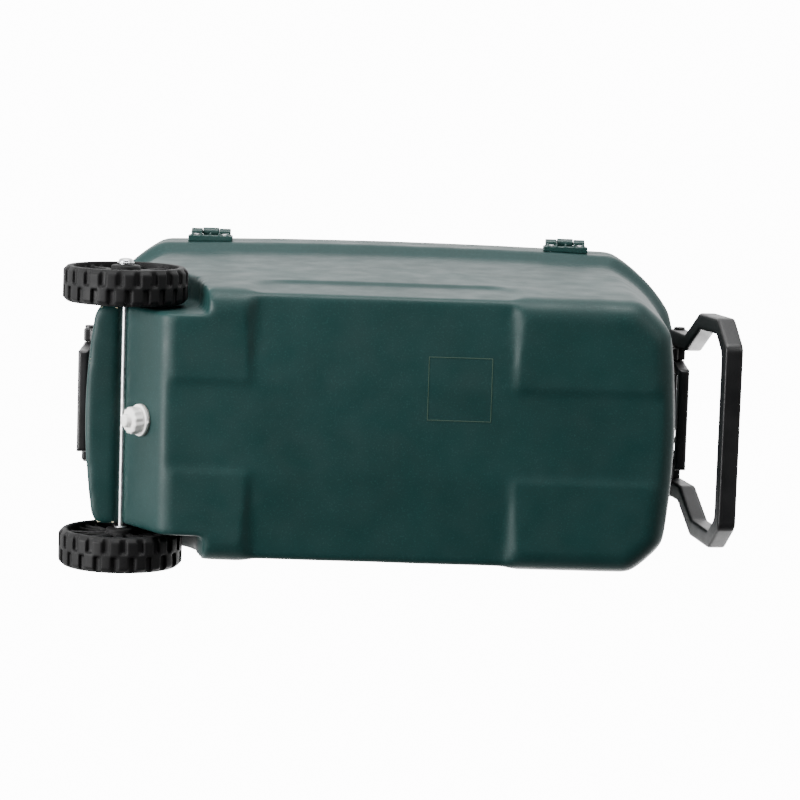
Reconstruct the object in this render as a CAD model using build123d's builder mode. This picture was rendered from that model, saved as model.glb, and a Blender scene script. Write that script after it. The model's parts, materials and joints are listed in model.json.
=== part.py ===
"""A cooler of about 57 litres on two wheels, built as separate pieces in one frame.

Frame: X runs along the cooler, with the wheels at +X and the tow handle at -X. Y runs
across it, with the lid hinges at +Y. Z is up, and the ground is at Z = 0. Millimetres.
The pieces are drawn about the middle of the body, and written out about the middle of
the whole cooler's box, on the ground.
"""

from build123d import *
from dataclasses import astuple, dataclass
from math import cos, radians, sin, sqrt, tan
import os

# Overall form
RIM_LENGTH = 753.0
RIM_DEPTH = 381.0
RIM_TOP = 394.5
LID_TOP = 455.0
RIM_STAND_END = 15.5  # how far the rim stands out past the end wall
RIM_STAND_SIDE = 12.5
WALL_TOP = 345.0  # the flare under the rim starts here
RIM_BOTTOM = 362.0  # and ends here
TOW_WALL_LEAN = 3.81  # degrees
WHEEL_WALL_LEAN = 2.37
SIDE_WALL_LEAN = 3.15

# Plan of the body: bowed sides and ends, joined by blunt corners
CORNER_ROUND = 30.0
BOTTOM_ROUND = 25.0
CREASE_BOTTOM = 44.0  # from the end to the start of the corner
CREASE_TOP = 83.0
CREASE_RIM = 89.5
CORNER_WIDE_BOTTOM = 35.0  # from the side to the other end of the corner
CORNER_WIDE_TOP = 64.0
CORNER_WIDE_RIM = 74.5
END_BOW_BOTTOM = 8.0
END_BOW_TOP = 15.0
END_BOW_RIM = 16.5
SIDE_BOW_BOTTOM = 0.5
SIDE_BOW_TOP = 5.0
CORNER_SAG_BOTTOM = 1.5
CORNER_SAG_TOP = 7.0
CORNER_INSET = tan(radians(22.5))  # how a corner's ends move in as the outline shrinks

# Walls
SHELL_WALL = 2.5
FOAM = 24.0
LINER_WALL = 2.0
LINER_CORNER = 85.0
LINER_EDGE = 20.0
TUB_TAPER = 3.3
LIP_GAP = 0.2

# Wheels and axle
WHEEL_RADIUS = 73.0
WHEEL_WIDTH = 42.0
WHEEL_PROUD = 17.5  # past the foot of the side wall
WHEEL_SIDE_GAP = 4.5
AXLE_DIAMETER = 6.4
AXLE_FIT = 0.1
AXLE_FROM_END = 41.7
TREAD_DEPTH = 4.0
TREAD_BLOCKS = 22
TREAD_GROOVE = 8.0
TREAD_RIB = 3.0
TREAD_SHOULDER = 5.0
RIM_RING = 11.0  # the tread ring's thickness
WEB = 8.0
SPOKES = 8
SPOKE_WIDE = 6.0
SPOKE_SHY = 5.0
HUB_RADIUS = 17.0
HUB_PROUD = 1.3
WASHER_RADIUS = 8.0
WASHER = 1.5
RUN_GAP = 0.3
CAP_RADIUS = 10.0
CAP_LONG = 6.0
CAP_ROUND = 2.5
AXLE_PAST_HUB = 5.0

# Wheel wells and the undercut end
WELL_GAP = 15.0
WELL_LEAN = 15.0
SLOPE_FOOT_FROM_AXLE = 52.8
SLOPE_ANGLE = 54.4
SLOPE_ROUND = 24.0
PANEL_UNDER_AXLE = 4.0  # how far the end panel lies below the axle's middle
GROOVE_BEFORE = 3.4
GROOVE_AFTER = 6.0
GROOVE_ABOVE = 3.4
SMALLEST_ROUND = 8.0

# Bottom
PAD = 2.0
BAND_HALF = 53.0
SCOOP_HALF = 153.0
SCOOP = 6.5
SCOOP_SIDE = 8.0
SCOOP_REACH = 1.3  # the scoop's cut runs on this share past the edge
SCOOP_SPREAD = 4  # its cut widens below the foot by this many flanks
INSET_HALF = 145.0
INSET = 4.0
INSET_SIDE = 16.0
INSET_TOP = 100.0
INSET_ROUND = 45.0
INSET_REACH = 5  # its cut runs this many depths out
LABEL_SIDE = 73.0
LABEL_X = -88.5
LABEL_Y = 51.6
LABEL_LINE = 1.4
LABEL_DEEP = 0.8

# Lid
LID_GAP = 0.6
LID_WALL = 2.5
LID_ROUND = 16.0
LID_LINER = 2.0
PLUG_GAP = 4.0
PLUG_DEEP = 12.0
SEAT_IN = 34.0
SEAT_DEEP = 2.5
CUP_RADIUS = 41.0
CUP_DEEP = 12.0
CUP_X = 250.0
CUP_Y = 92.0
CUP_ROUND = 3.0
GRIP_HALF = 80.0
GRIP_OUT = 9.0
GRIP_TALL = 14.0
GRIP_CORNER = 8.0

# Hinges
HINGE_X = 226.0
HINGE_HALF = 28.0
KNUCKLE_SPAN = 25.0
CENTRE_KNUCKLE_HALF = 10.2
KNUCKLE_GAP = 0.6
KNUCKLE_RADIUS = 5.0
CENTRE_KNUCKLE_RADIUS = 6.0
HINGE_OUT = 7.0  # pin axis past the rim's middle
LEAF_OUT = 4.0  # the leaf's face past the rim's middle
LEAF_TALL = 20.0
LID_LEAF_OUT = 2.5
LID_LEAF_UP = 4.2
PIN_DIAMETER = 4.0
PIN_FIT = 0.1
HINGE_SCREW_X = 18.0
SCREW_SHANK = 4.0
SCREW_LONG = 13.0
SCREW_HEAD = 8.0
SCREW_HEAD_TALL = 2.2
SCREW_CLEAR = 0.3

# Handles at the two ends
PIVOT_HEIGHT = 275.0
BRACKET_WEB = 0.95  # the least of the bracket left behind a notch
BLOCK_OUT = 7.5
BLOCK_HALF_TALL = 13.0
BLOCK_IN = 66.0
BLOCK_END = 82.0
PLATE_TALL = 46.0
PLATE_SHY = 2.5
NOTCH_IN = 48.5
NOTCH_SHY = 8.7
BRACKET_ROUND = 3.0
BRACKET_SCREW_Y = 34.0
BRACKET_SCREW_Z = 14.0
BRACKET_SCREW_LONG = 16.0
HANDLE_PIN = 8.0
HANDLE_PIN_HEAD = 14.0
HANDLE_PIN_HEAD_TALL = 3.0
BAIL_ARM_IN = 50.5
BAIL_ARM_OUT = 64.5
BAIL_HUB = 8.0
BAIL_THICK = 13.0
BAIL_DROP = 84.0
BAIL_GRIP_TALL = 22.0
BAIL_GRIP_HALF = 62.0
BAIL_ROUND = 4.0
TOW_SWUNG = 10.0  # degrees out from hanging plumb, as built
TOW_ARM_IN = 83.0
TOW_ARM_OUT = 103.0
TOW_STRAIGHT = 60.0
TOW_KNEE = 120.0
TOW_KNEE_OUT = 135.5
TOW_GRIP_OUT = 137.0
TOW_CORNER = 200.0
TOW_LONG = 240.0
TOW_GRIP_HALF = 107.0
TOW_BAR = 20.0
TOW_THICK = 22.0
TOW_BEND = 12.0
TOW_EDGE = 3.0

# Drain
DRAIN_UP_SLOPE = 0.56  # share of the slope
DRAIN_FLANGE = 37.6
DRAIN_FLANGE_THICK = 4.0
DRAIN_FLANGE_ROUND = 1.3
DRAIN_TUBE = 22.0
DRAIN_BORE = 15.0
DRAIN_GASKET = 1.5
DRAIN_STUB = 8.5
DRAIN_CAP = 32.0
DRAIN_CAP_GAP = 0.5
DRAIN_CAP_TALL = 12.0
DRAIN_CAP_SCALLOPS = 12
DRAIN_SCALLOP = 1.6
DRAIN_THREAD_GAP = 0.3
DRAIN_NUB = 16.0
DRAIN_NUB_TALL = 7.0
DRAIN_NUB_ROUND = 1.75
DRAIN_NUT = 40.0
DRAIN_NUT_SIDES = 8
DRAIN_NUT_THICK = 6.0
DRAIN_SEAL = 1.5

FAR = 500.0  # past everything
SLICE = 0.02

# Worked out
HALF_LENGTH = RIM_LENGTH / 2
HALF_DEPTH = RIM_DEPTH / 2
WALL_X = HALF_LENGTH - RIM_STAND_END
WALL_Y = HALF_DEPTH - RIM_STAND_SIDE
TOW_FOOT = WALL_X - WALL_TOP * tan(radians(TOW_WALL_LEAN))
WHEEL_FOOT = WALL_X - WALL_TOP * tan(radians(WHEEL_WALL_LEAN))
SIDE_FOOT = WALL_Y - WALL_TOP * tan(radians(SIDE_WALL_LEAN))
AXLE_X = WHEEL_FOOT - AXLE_FROM_END
AXLE_Z = WHEEL_RADIUS
WHEEL_OUT = SIDE_FOOT + WHEEL_PROUD
WHEEL_IN = WHEEL_OUT - WHEEL_WIDTH
WELL_IN = WHEEL_IN - WHEEL_SIDE_GAP
WELL_RADIUS = WHEEL_RADIUS + WELL_GAP
PANEL_HEIGHT = AXLE_Z - PANEL_UNDER_AXLE
SLOPE_FOOT = AXLE_X - SLOPE_FOOT_FROM_AXLE
LINER_OUT = SHELL_WALL + FOAM
TUB_IN = LINER_OUT + LINER_WALL
LIP_BOTTOM = RIM_TOP - LINER_WALL
LID_BOTTOM = RIM_TOP + LID_GAP
HINGE_Y = HALF_DEPTH + HINGE_OUT
HINGE_Z = RIM_TOP + LID_GAP / 2


@dataclass(frozen=True)
class Plan:
    """One level of the body's outline, in plan."""

    tow_x: float
    wheel_x: float
    half_depth: float
    side_bow: float
    crease: float
    corner_wide: float
    end_bow: float
    corner_sag: float


FOOT_PLAN = Plan(
    TOW_FOOT, WHEEL_FOOT, SIDE_FOOT, SIDE_BOW_BOTTOM,
    CREASE_BOTTOM, CORNER_WIDE_BOTTOM, END_BOW_BOTTOM, CORNER_SAG_BOTTOM,
)
WALL_PLAN = Plan(
    WALL_X, WALL_X, WALL_Y, SIDE_BOW_TOP,
    CREASE_TOP, CORNER_WIDE_TOP, END_BOW_TOP, CORNER_SAG_TOP,
)
RIM_PLAN = Plan(
    HALF_LENGTH, HALF_LENGTH, HALF_DEPTH, SIDE_BOW_TOP,
    CREASE_RIM, CORNER_WIDE_RIM, END_BOW_RIM, CORNER_SAG_TOP,
)


def wall_plan(z):
    """The straight wall's outline at a height, carried on past its top if asked."""
    share = z / WALL_TOP
    pairs = zip(astuple(FOOT_PLAN), astuple(WALL_PLAN))
    return Plan(*(low + (high - low) * share for low, high in pairs))


def end_wall_x(end_x, plan, y):
    """How far out the bowed end wall is at this Y."""
    end_y = plan.half_depth - plan.corner_wide
    bow_radius = (end_y**2 + plan.end_bow**2) / (2 * plan.end_bow)
    return end_x - bow_radius + sqrt(bow_radius**2 - y**2)


PIVOT_PLAN = wall_plan(PIVOT_HEIGHT)
PIVOT_WALL_X = max(
    end_wall_x(end_x, PIVOT_PLAN, NOTCH_IN) for end_x in (PIVOT_PLAN.tow_x, PIVOT_PLAN.wheel_x)
)
PIVOT_X = PIVOT_WALL_X + BRACKET_WEB + NOTCH_SHY


def outline(z, plan, inset, corner):
    """A closed face of the outline at a height, shrunk by the inset."""
    half_depth = plan.half_depth - inset
    crease = plan.crease - inset * (1 - CORNER_INSET)
    end_y = half_depth - plan.corner_wide + inset * (1 - CORNER_INSET)
    side_y = half_depth - plan.side_bow
    ends = {-1: plan.tow_x - inset, 1: plan.wheel_x - inset}
    with BuildSketch(Plane.XY.offset(z)) as face:
        with BuildLine():
            for side in (-1, 1):
                ThreePointArc(
                    (-(ends[-1] - crease), side * side_y),
                    (0, side * half_depth),
                    (ends[1] - crease, side * side_y),
                )
                for end in (-1, 1):
                    start = Vector(end * (ends[end] - crease), side * side_y)
                    finish = Vector(end * (ends[end] - plan.end_bow), side * end_y)
                    along = (finish - start).normalized()
                    out = Vector(end * abs(along.Y), side * abs(along.X))
                    middle = (start + finish) / 2 + out * plan.corner_sag
                    ThreePointArc(start, middle, finish)
            for end in (-1, 1):
                ThreePointArc(
                    (end * (ends[end] - plan.end_bow), -end_y),
                    (end * ends[end], 0),
                    (end * (ends[end] - plan.end_bow), end_y),
                )
        make_face()
        fillet(face.vertices(), corner)
    return face.sketch


def inset_plane(side, depth):
    """A plane that lies this deep under a side wall, its y up the wall."""
    lean = radians(SIDE_WALL_LEAN)
    return Plane(
        origin=(0, side * (SIDE_FOOT - depth / cos(lean)), 0),
        x_dir=(-side, 0, 0),
        z_dir=(0, side * cos(lean), -sin(lean)),
    )


def inset_face(side, depth, half, inset):
    """The sunk panel's outline on its plane: square below, rounded above."""
    top = INSET_TOP + inset
    with BuildSketch(inset_plane(side, depth)) as face:
        with BuildLine():
            Polyline((-half, -top), (half, -top), (half, top), (-half, top), close=True)
        make_face()
        fillet(face.vertices().group_by(Axis.Z)[-1], INSET_ROUND)
    return face.sketch


def scoop_face(side, share, inset):
    """The scoop's cross-section, this share of the way out to the edge."""
    deep = PAD + SCOOP * share + inset
    flank = SCOOP_SIDE * share
    top_half = SCOOP_HALF + inset - flank
    low_half = top_half + SCOOP_SPREAD * flank + SLICE
    y = BAND_HALF + (SIDE_FOOT - BAND_HALF) * share
    with BuildSketch(Plane.XZ.offset(-side * y)) as face:
        with BuildLine():
            Polyline(
                (-low_half, -deep), (low_half, -deep), (top_half, deep), (-top_half, deep),
                close=True,
            )
        make_face()
    return face.sketch


def end_cutter(inset):
    """What the undercut end and the wheel wells take away, grown by the inset."""
    rounding = max(SLOPE_ROUND - inset, SMALLEST_ROUND)
    slope_foot = SLOPE_FOOT - inset * tan(radians(SLOPE_ANGLE / 2))
    slope_top = slope_foot + PANEL_HEIGHT / tan(radians(SLOPE_ANGLE))
    slope_start = slope_foot - rounding * tan(radians(SLOPE_ANGLE / 2))
    arch_x = AXLE_X - WELL_RADIUS - inset
    with BuildPart() as cutter:
        with BuildSketch(Plane.XZ):
            with BuildLine():
                arc = CenterArc((slope_start, inset + rounding), rounding, -90, SLOPE_ANGLE)
                Polyline(
                    arc @ 1, (slope_top, PANEL_HEIGHT + inset), (FAR, PANEL_HEIGHT + inset),
                    (FAR, -FAR), (slope_start, -FAR), arc @ 0,
                )
            make_face()
        extrude(amount=FAR, both=True)
        for side in (-1, 1):
            with BuildSketch(Plane.XZ.offset(-side * (WELL_IN - inset))):
                with Locations((AXLE_X, AXLE_Z)):
                    Circle(WELL_RADIUS + inset)
                with BuildLine():
                    Polyline(
                        (arch_x, AXLE_Z), (arch_x - 2 * WELL_LEAN, -AXLE_Z),
                        (FAR, -AXLE_Z), (FAR, AXLE_Z), close=True,
                    )
                make_face()
            extrude(amount=-side * (FAR - WELL_IN))
    return cutter.part


def skin_form(inset, top, corner, edge):
    """The moulded body as a closed form, shrunk by the inset."""
    levels = [
        outline(inset, wall_plan(inset), inset, corner),
        outline(WALL_TOP, wall_plan(WALL_TOP), inset, corner),
        outline(RIM_BOTTOM, RIM_PLAN, inset, corner),
        outline(top, RIM_PLAN, inset, corner),
    ]
    scoops = [
        [scoop_face(side, share, inset) for share in (0.0, SCOOP_REACH)] for side in (-1, 1)
    ]
    deep = INSET + inset
    sunk_half = INSET_HALF + inset
    open_half = sunk_half + INSET_SIDE * INSET_REACH
    sunk = [
        [
            inset_face(side, deep, sunk_half, inset),
            inset_face(side, deep - INSET * INSET_REACH, open_half, inset),
        ]
        for side in (-1, 1)
    ]
    cutter = end_cutter(inset)
    with BuildPart() as form:
        loft(sections=levels, ruled=True)
        fillet(form.edges().group_by(Axis.Z)[0], edge)
        add(cutter, mode=Mode.SUBTRACT)
        # the groove that the axle lies in
        with BuildSketch(Plane.XZ):
            left = AXLE_X - GROOVE_BEFORE - inset
            right = AXLE_X + GROOVE_AFTER + inset
            roof = AXLE_Z + GROOVE_ABOVE + inset
            with BuildLine():
                Polyline((left, 0), (right, 0), (right, roof), (left, roof), close=True)
            make_face()
        extrude(amount=FAR, both=True, mode=Mode.SUBTRACT)
        # the level between the corner pads
        with BuildSketch(Plane.XY.offset(PAD + inset)):
            Rectangle(2 * FAR, 2 * (BAND_HALF + inset))
            Rectangle(2 * (SCOOP_HALF + inset), 2 * FAR)
        extrude(amount=-FAR, mode=Mode.SUBTRACT)
        for pair in (*scoops, *sunk):
            loft(sections=pair, ruled=True, mode=Mode.SUBTRACT)
    return form.part


def tub_form(inset, top, corner, edge):
    """The tub as a closed form: plain tapered walls, this far inside the body's."""
    plan = wall_plan(LIP_BOTTOM)
    cutter = end_cutter(inset)
    down = LIP_BOTTOM - inset
    with BuildPart() as form:
        with BuildSketch(Plane.XY.offset(LIP_BOTTOM)):
            RectangleRounded(2 * (plan.tow_x - inset), 2 * (plan.half_depth - inset), corner)
        extrude(amount=-down, taper=TUB_TAPER)
        fillet(form.edges().group_by(Axis.Z)[0], edge)
        if top > LIP_BOTTOM:
            mouth = form.faces().sort_by(Axis.Z)[-1]
            extrude(mouth, amount=top - LIP_BOTTOM)
        add(cutter, mode=Mode.SUBTRACT)
    return form.part


finished = {}


def save(piece, name):
    """Label a finished piece and keep it for writing out."""
    piece.label = name
    finished[name] = piece


def bar_along(start, direction, radius, long):
    """A round bar from a point along a direction."""
    with BuildPart() as bar:
        with BuildSketch(Plane(origin=start, z_dir=direction)):
            Circle(radius)
        extrude(amount=long)
    return bar.part


def screw(seat, direction, long):
    """A pan-head screw whose head sits on the seat, its shank along the direction."""
    with BuildPart() as piece:
        with BuildSketch(Plane(origin=seat, z_dir=direction)):
            Circle(SCREW_SHANK / 2)
        extrude(amount=long)
        with BuildSketch(Plane(origin=seat, z_dir=-direction)):
            Circle(SCREW_HEAD / 2)
        extrude(amount=SCREW_HEAD_TALL)
        crown = piece.faces().sort_by(Axis(seat, direction))[0]
        fillet(crown.edges(), SCREW_HEAD_TALL / 2)
    return piece.part


def grouped(pieces):
    """Several separate solids as one part."""
    with BuildPart() as group:
        for piece in pieces:
            add(piece)
    return group.part


def slab(low, high):
    """A plain block between two corners."""
    with BuildPart() as block:
        with BuildSketch(Plane.XY.offset(low[2])):
            with Locations(((low[0] + high[0]) / 2, (low[1] + high[1]) / 2)):
                Rectangle(high[0] - low[0], high[1] - low[1])
        extrude(amount=high[2] - low[2])
    return block.part


os.makedirs("parts", exist_ok=True)

# ---- forms that several pieces share
shell_corner = CORNER_ROUND - SHELL_WALL
shell_edge = BOTTOM_ROUND - SHELL_WALL
outer_form = skin_form(0.0, RIM_TOP, CORNER_ROUND, BOTTOM_ROUND)
hollow_form = skin_form(SHELL_WALL, RIM_TOP, shell_corner, shell_edge)
foam_form = skin_form(SHELL_WALL, LIP_BOTTOM, shell_corner, shell_edge)
liner_form = tub_form(LINER_OUT, LIP_BOTTOM, LINER_CORNER, LINER_EDGE)
tub_corner = LINER_CORNER - LINER_WALL
tub_edge = LINER_EDGE - LINER_WALL
cavity_form = tub_form(TUB_IN, RIM_TOP, tub_corner, tub_edge)

# ---- drain: on the slope, square to it
slope_long = PANEL_HEIGHT / sin(radians(SLOPE_ANGLE))
slope_dir = Vector(cos(radians(SLOPE_ANGLE)), 0, sin(radians(SLOPE_ANGLE)))
drain_dir = Vector(sin(radians(SLOPE_ANGLE)), 0, -cos(radians(SLOPE_ANGLE)))
drain_at = Vector(SLOPE_FOOT, 0, 0) + slope_dir * (slope_long * DRAIN_UP_SLOPE)


def drain_plane(height):
    """A plane square to the drain, this far out from the slope."""
    return Plane(origin=drain_at + drain_dir * height, x_dir=(0, 1, 0), z_dir=drain_dir)


flange_top = DRAIN_GASKET + DRAIN_FLANGE_THICK
stub_top = flange_top + DRAIN_STUB
nut_face = -TUB_IN
tube_end = nut_face - DRAIN_NUT_THICK
seal_low = stub_top + DRAIN_THREAD_GAP
cap_low = flange_top + DRAIN_CAP_GAP
cap_high = cap_low + DRAIN_CAP_TALL
thread_radius = DRAIN_TUBE / 2 + DRAIN_THREAD_GAP
drain_way = bar_along(
    drain_at + drain_dir * DRAIN_GASKET, -drain_dir, DRAIN_TUBE / 2, DRAIN_GASKET - tube_end
)

with BuildPart() as drain_gasket:
    with BuildSketch(drain_plane(0.0)):
        Circle(DRAIN_FLANGE / 2)
        Circle(DRAIN_TUBE / 2, mode=Mode.SUBTRACT)
    extrude(amount=DRAIN_GASKET)
save(drain_gasket.part, "drain_gasket")

with BuildPart() as drain_spout:
    with BuildSketch(drain_plane(DRAIN_GASKET)):
        Circle(DRAIN_FLANGE / 2)
    extrude(amount=DRAIN_FLANGE_THICK)
    rim = drain_spout.faces().sort_by(Axis(drain_at, drain_dir))[-1]
    fillet(rim.edges(), DRAIN_FLANGE_ROUND)
    with BuildSketch(drain_plane(tube_end)):
        Circle(DRAIN_TUBE / 2)
    extrude(amount=stub_top - tube_end)
    with BuildSketch(drain_plane(tube_end)):
        Circle(DRAIN_BORE / 2)
    extrude(amount=stub_top - tube_end, mode=Mode.SUBTRACT)
save(drain_spout.part, "drain_spout")

with BuildPart() as drain_nut:
    with BuildSketch(drain_plane(tube_end)):
        RegularPolygon(DRAIN_NUT / 2, DRAIN_NUT_SIDES)
        Circle(DRAIN_TUBE / 2, mode=Mode.SUBTRACT)
    extrude(amount=DRAIN_NUT_THICK)
save(drain_nut.part, "drain_nut")

with BuildPart() as drain_seal:
    with BuildSketch(drain_plane(seal_low)):
        Circle(DRAIN_TUBE / 2)
    extrude(amount=DRAIN_SEAL)
save(drain_seal.part, "drain_seal")

with BuildPart() as drain_cap:
    with BuildSketch(drain_plane(cap_low)):
        Circle(DRAIN_CAP / 2)
        with PolarLocations(DRAIN_CAP / 2 + DRAIN_SCALLOP / 2, DRAIN_CAP_SCALLOPS):
            Circle(DRAIN_SCALLOP, mode=Mode.SUBTRACT)
    extrude(amount=DRAIN_CAP_TALL)
    with BuildSketch(drain_plane(cap_high)):
        Circle(DRAIN_NUB / 2)
    extrude(amount=DRAIN_NUB_TALL)
    nub_end = drain_cap.faces().sort_by(Axis(drain_at, drain_dir))[-1]
    fillet(nub_end.edges(), DRAIN_NUB_ROUND)
    with BuildSketch(drain_plane(cap_low)):
        Circle(thread_radius)
    extrude(amount=seal_low + DRAIN_SEAL - cap_low, mode=Mode.SUBTRACT)
save(drain_cap.part, "drain_cap")

# ---- hinges: two leaves and a pin each, at the back of the rim
HINGES = {"tow": -HINGE_X, "wheel": HINGE_X}
back = Vector(0, 1, 0)
body_hinge_screws = []
lid_hinge_screws = []
for centre in HINGES.values():
    for x in (centre - HINGE_SCREW_X, centre + HINGE_SCREW_X):
        low_z = HINGE_Z - LEAF_TALL + SCREW_HEAD / 2
        high_z = HINGE_Z + LEAF_TALL
        seat = Vector(x, HALF_DEPTH + LEAF_OUT, low_z)
        body_hinge_screws.append(screw(seat, -back, SCREW_LONG))
        seat = Vector(x, HALF_DEPTH + LID_LEAF_OUT, high_z)
        lid_hinge_screws.append(screw(seat, -back, SCREW_LONG))
hinge_screws_body = grouped(body_hinge_screws)
hinge_screws_lid = grouped(lid_hinge_screws)
save(hinge_screws_body, "hinge_screws_body")
save(hinge_screws_lid, "hinge_screws_lid")

lid_plan = outline(LID_BOTTOM, RIM_PLAN, 0.0, CORNER_ROUND)


def knuckle(centre, low, high, radius):
    """A barrel about the pin axis, between two offsets from the hinge's middle."""
    return bar_along(
        Vector(centre + low, HINGE_Y, HINGE_Z), Vector(1, 0, 0), radius, high - low
    )


with BuildPart() as lid_block:
    add(lid_plan)
    extrude(amount=LID_TOP - LID_BOTTOM)

for end_name, centre in HINGES.items():
    inner = CENTRE_KNUCKLE_HALF + KNUCKLE_GAP
    leaf_low = HINGE_Z - LEAF_TALL - SCREW_HEAD / 2
    pin_bar = knuckle(centre, -KNUCKLE_SPAN, KNUCKLE_SPAN, PIN_DIAMETER / 2)
    save(pin_bar, f"hinge_pin_{end_name}_side")

    notch = knuckle(centre, -inner, inner, CENTRE_KNUCKLE_RADIUS + KNUCKLE_GAP)
    plate = slab(
        (centre - HINGE_HALF, WALL_Y, leaf_low),
        (centre + HINGE_HALF, HALF_DEPTH + LEAF_OUT, LIP_BOTTOM),
    )
    with BuildPart() as body_leaf:
        add(plate)
        add(outer_form, mode=Mode.SUBTRACT)
        for low, high in ((-KNUCKLE_SPAN, -inner), (inner, KNUCKLE_SPAN)):
            web = slab(
                (centre + low, HALF_DEPTH, HINGE_Z - 2 * KNUCKLE_RADIUS),
                (centre + high, HINGE_Y + KNUCKLE_RADIUS / 2, HINGE_Z - KNUCKLE_RADIUS / 2),
            )
            add(web)
            add(knuckle(centre, low, high, KNUCKLE_RADIUS))
        add(notch, mode=Mode.SUBTRACT)
        add(pin_bar, mode=Mode.SUBTRACT)
        add(hinge_screws_body, mode=Mode.SUBTRACT)
    save(body_leaf.part, f"hinge_leaf_body_{end_name}_side")

    lid_plate = slab(
        (centre - KNUCKLE_SPAN, WALL_Y, HINGE_Z + LID_LEAF_UP),
        (centre + KNUCKLE_SPAN, HALF_DEPTH + LID_LEAF_OUT, HINGE_Z + LEAF_TALL + SCREW_HEAD),
    )
    lid_web = slab(
        (centre - CENTRE_KNUCKLE_HALF, HALF_DEPTH, HINGE_Z + CENTRE_KNUCKLE_RADIUS / 2),
        (
            centre + CENTRE_KNUCKLE_HALF,
            HINGE_Y + CENTRE_KNUCKLE_RADIUS / 2,
            HINGE_Z + 2 * CENTRE_KNUCKLE_RADIUS,
        ),
    )
    pin_hole = knuckle(centre, -KNUCKLE_SPAN, KNUCKLE_SPAN, PIN_DIAMETER / 2 + PIN_FIT)
    middle_knuckle = knuckle(
        centre, -CENTRE_KNUCKLE_HALF, CENTRE_KNUCKLE_HALF, CENTRE_KNUCKLE_RADIUS
    )
    with BuildPart() as lid_leaf:
        add(lid_plate)
        add(lid_block.part, mode=Mode.SUBTRACT)
        add(lid_web)
        add(middle_knuckle)
        add(pin_hole, mode=Mode.SUBTRACT)
        add(hinge_screws_lid, mode=Mode.SUBTRACT)
    save(lid_leaf.part, f"hinge_leaf_lid_{end_name}_side")

# ---- brackets, pins and lifting bails at the two ends
ENDS = {"tow": -1, "wheel": 1}
bracket_screws = {}


def end_slab(end, low, high):
    """A block at one end, the X of its corners given as distances from the middle."""
    xs = sorted((end * low[0], end * high[0]))
    ys = sorted((low[1], high[1]))
    return slab((xs[0], ys[0], low[2]), (xs[1], ys[1], high[2]))


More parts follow.
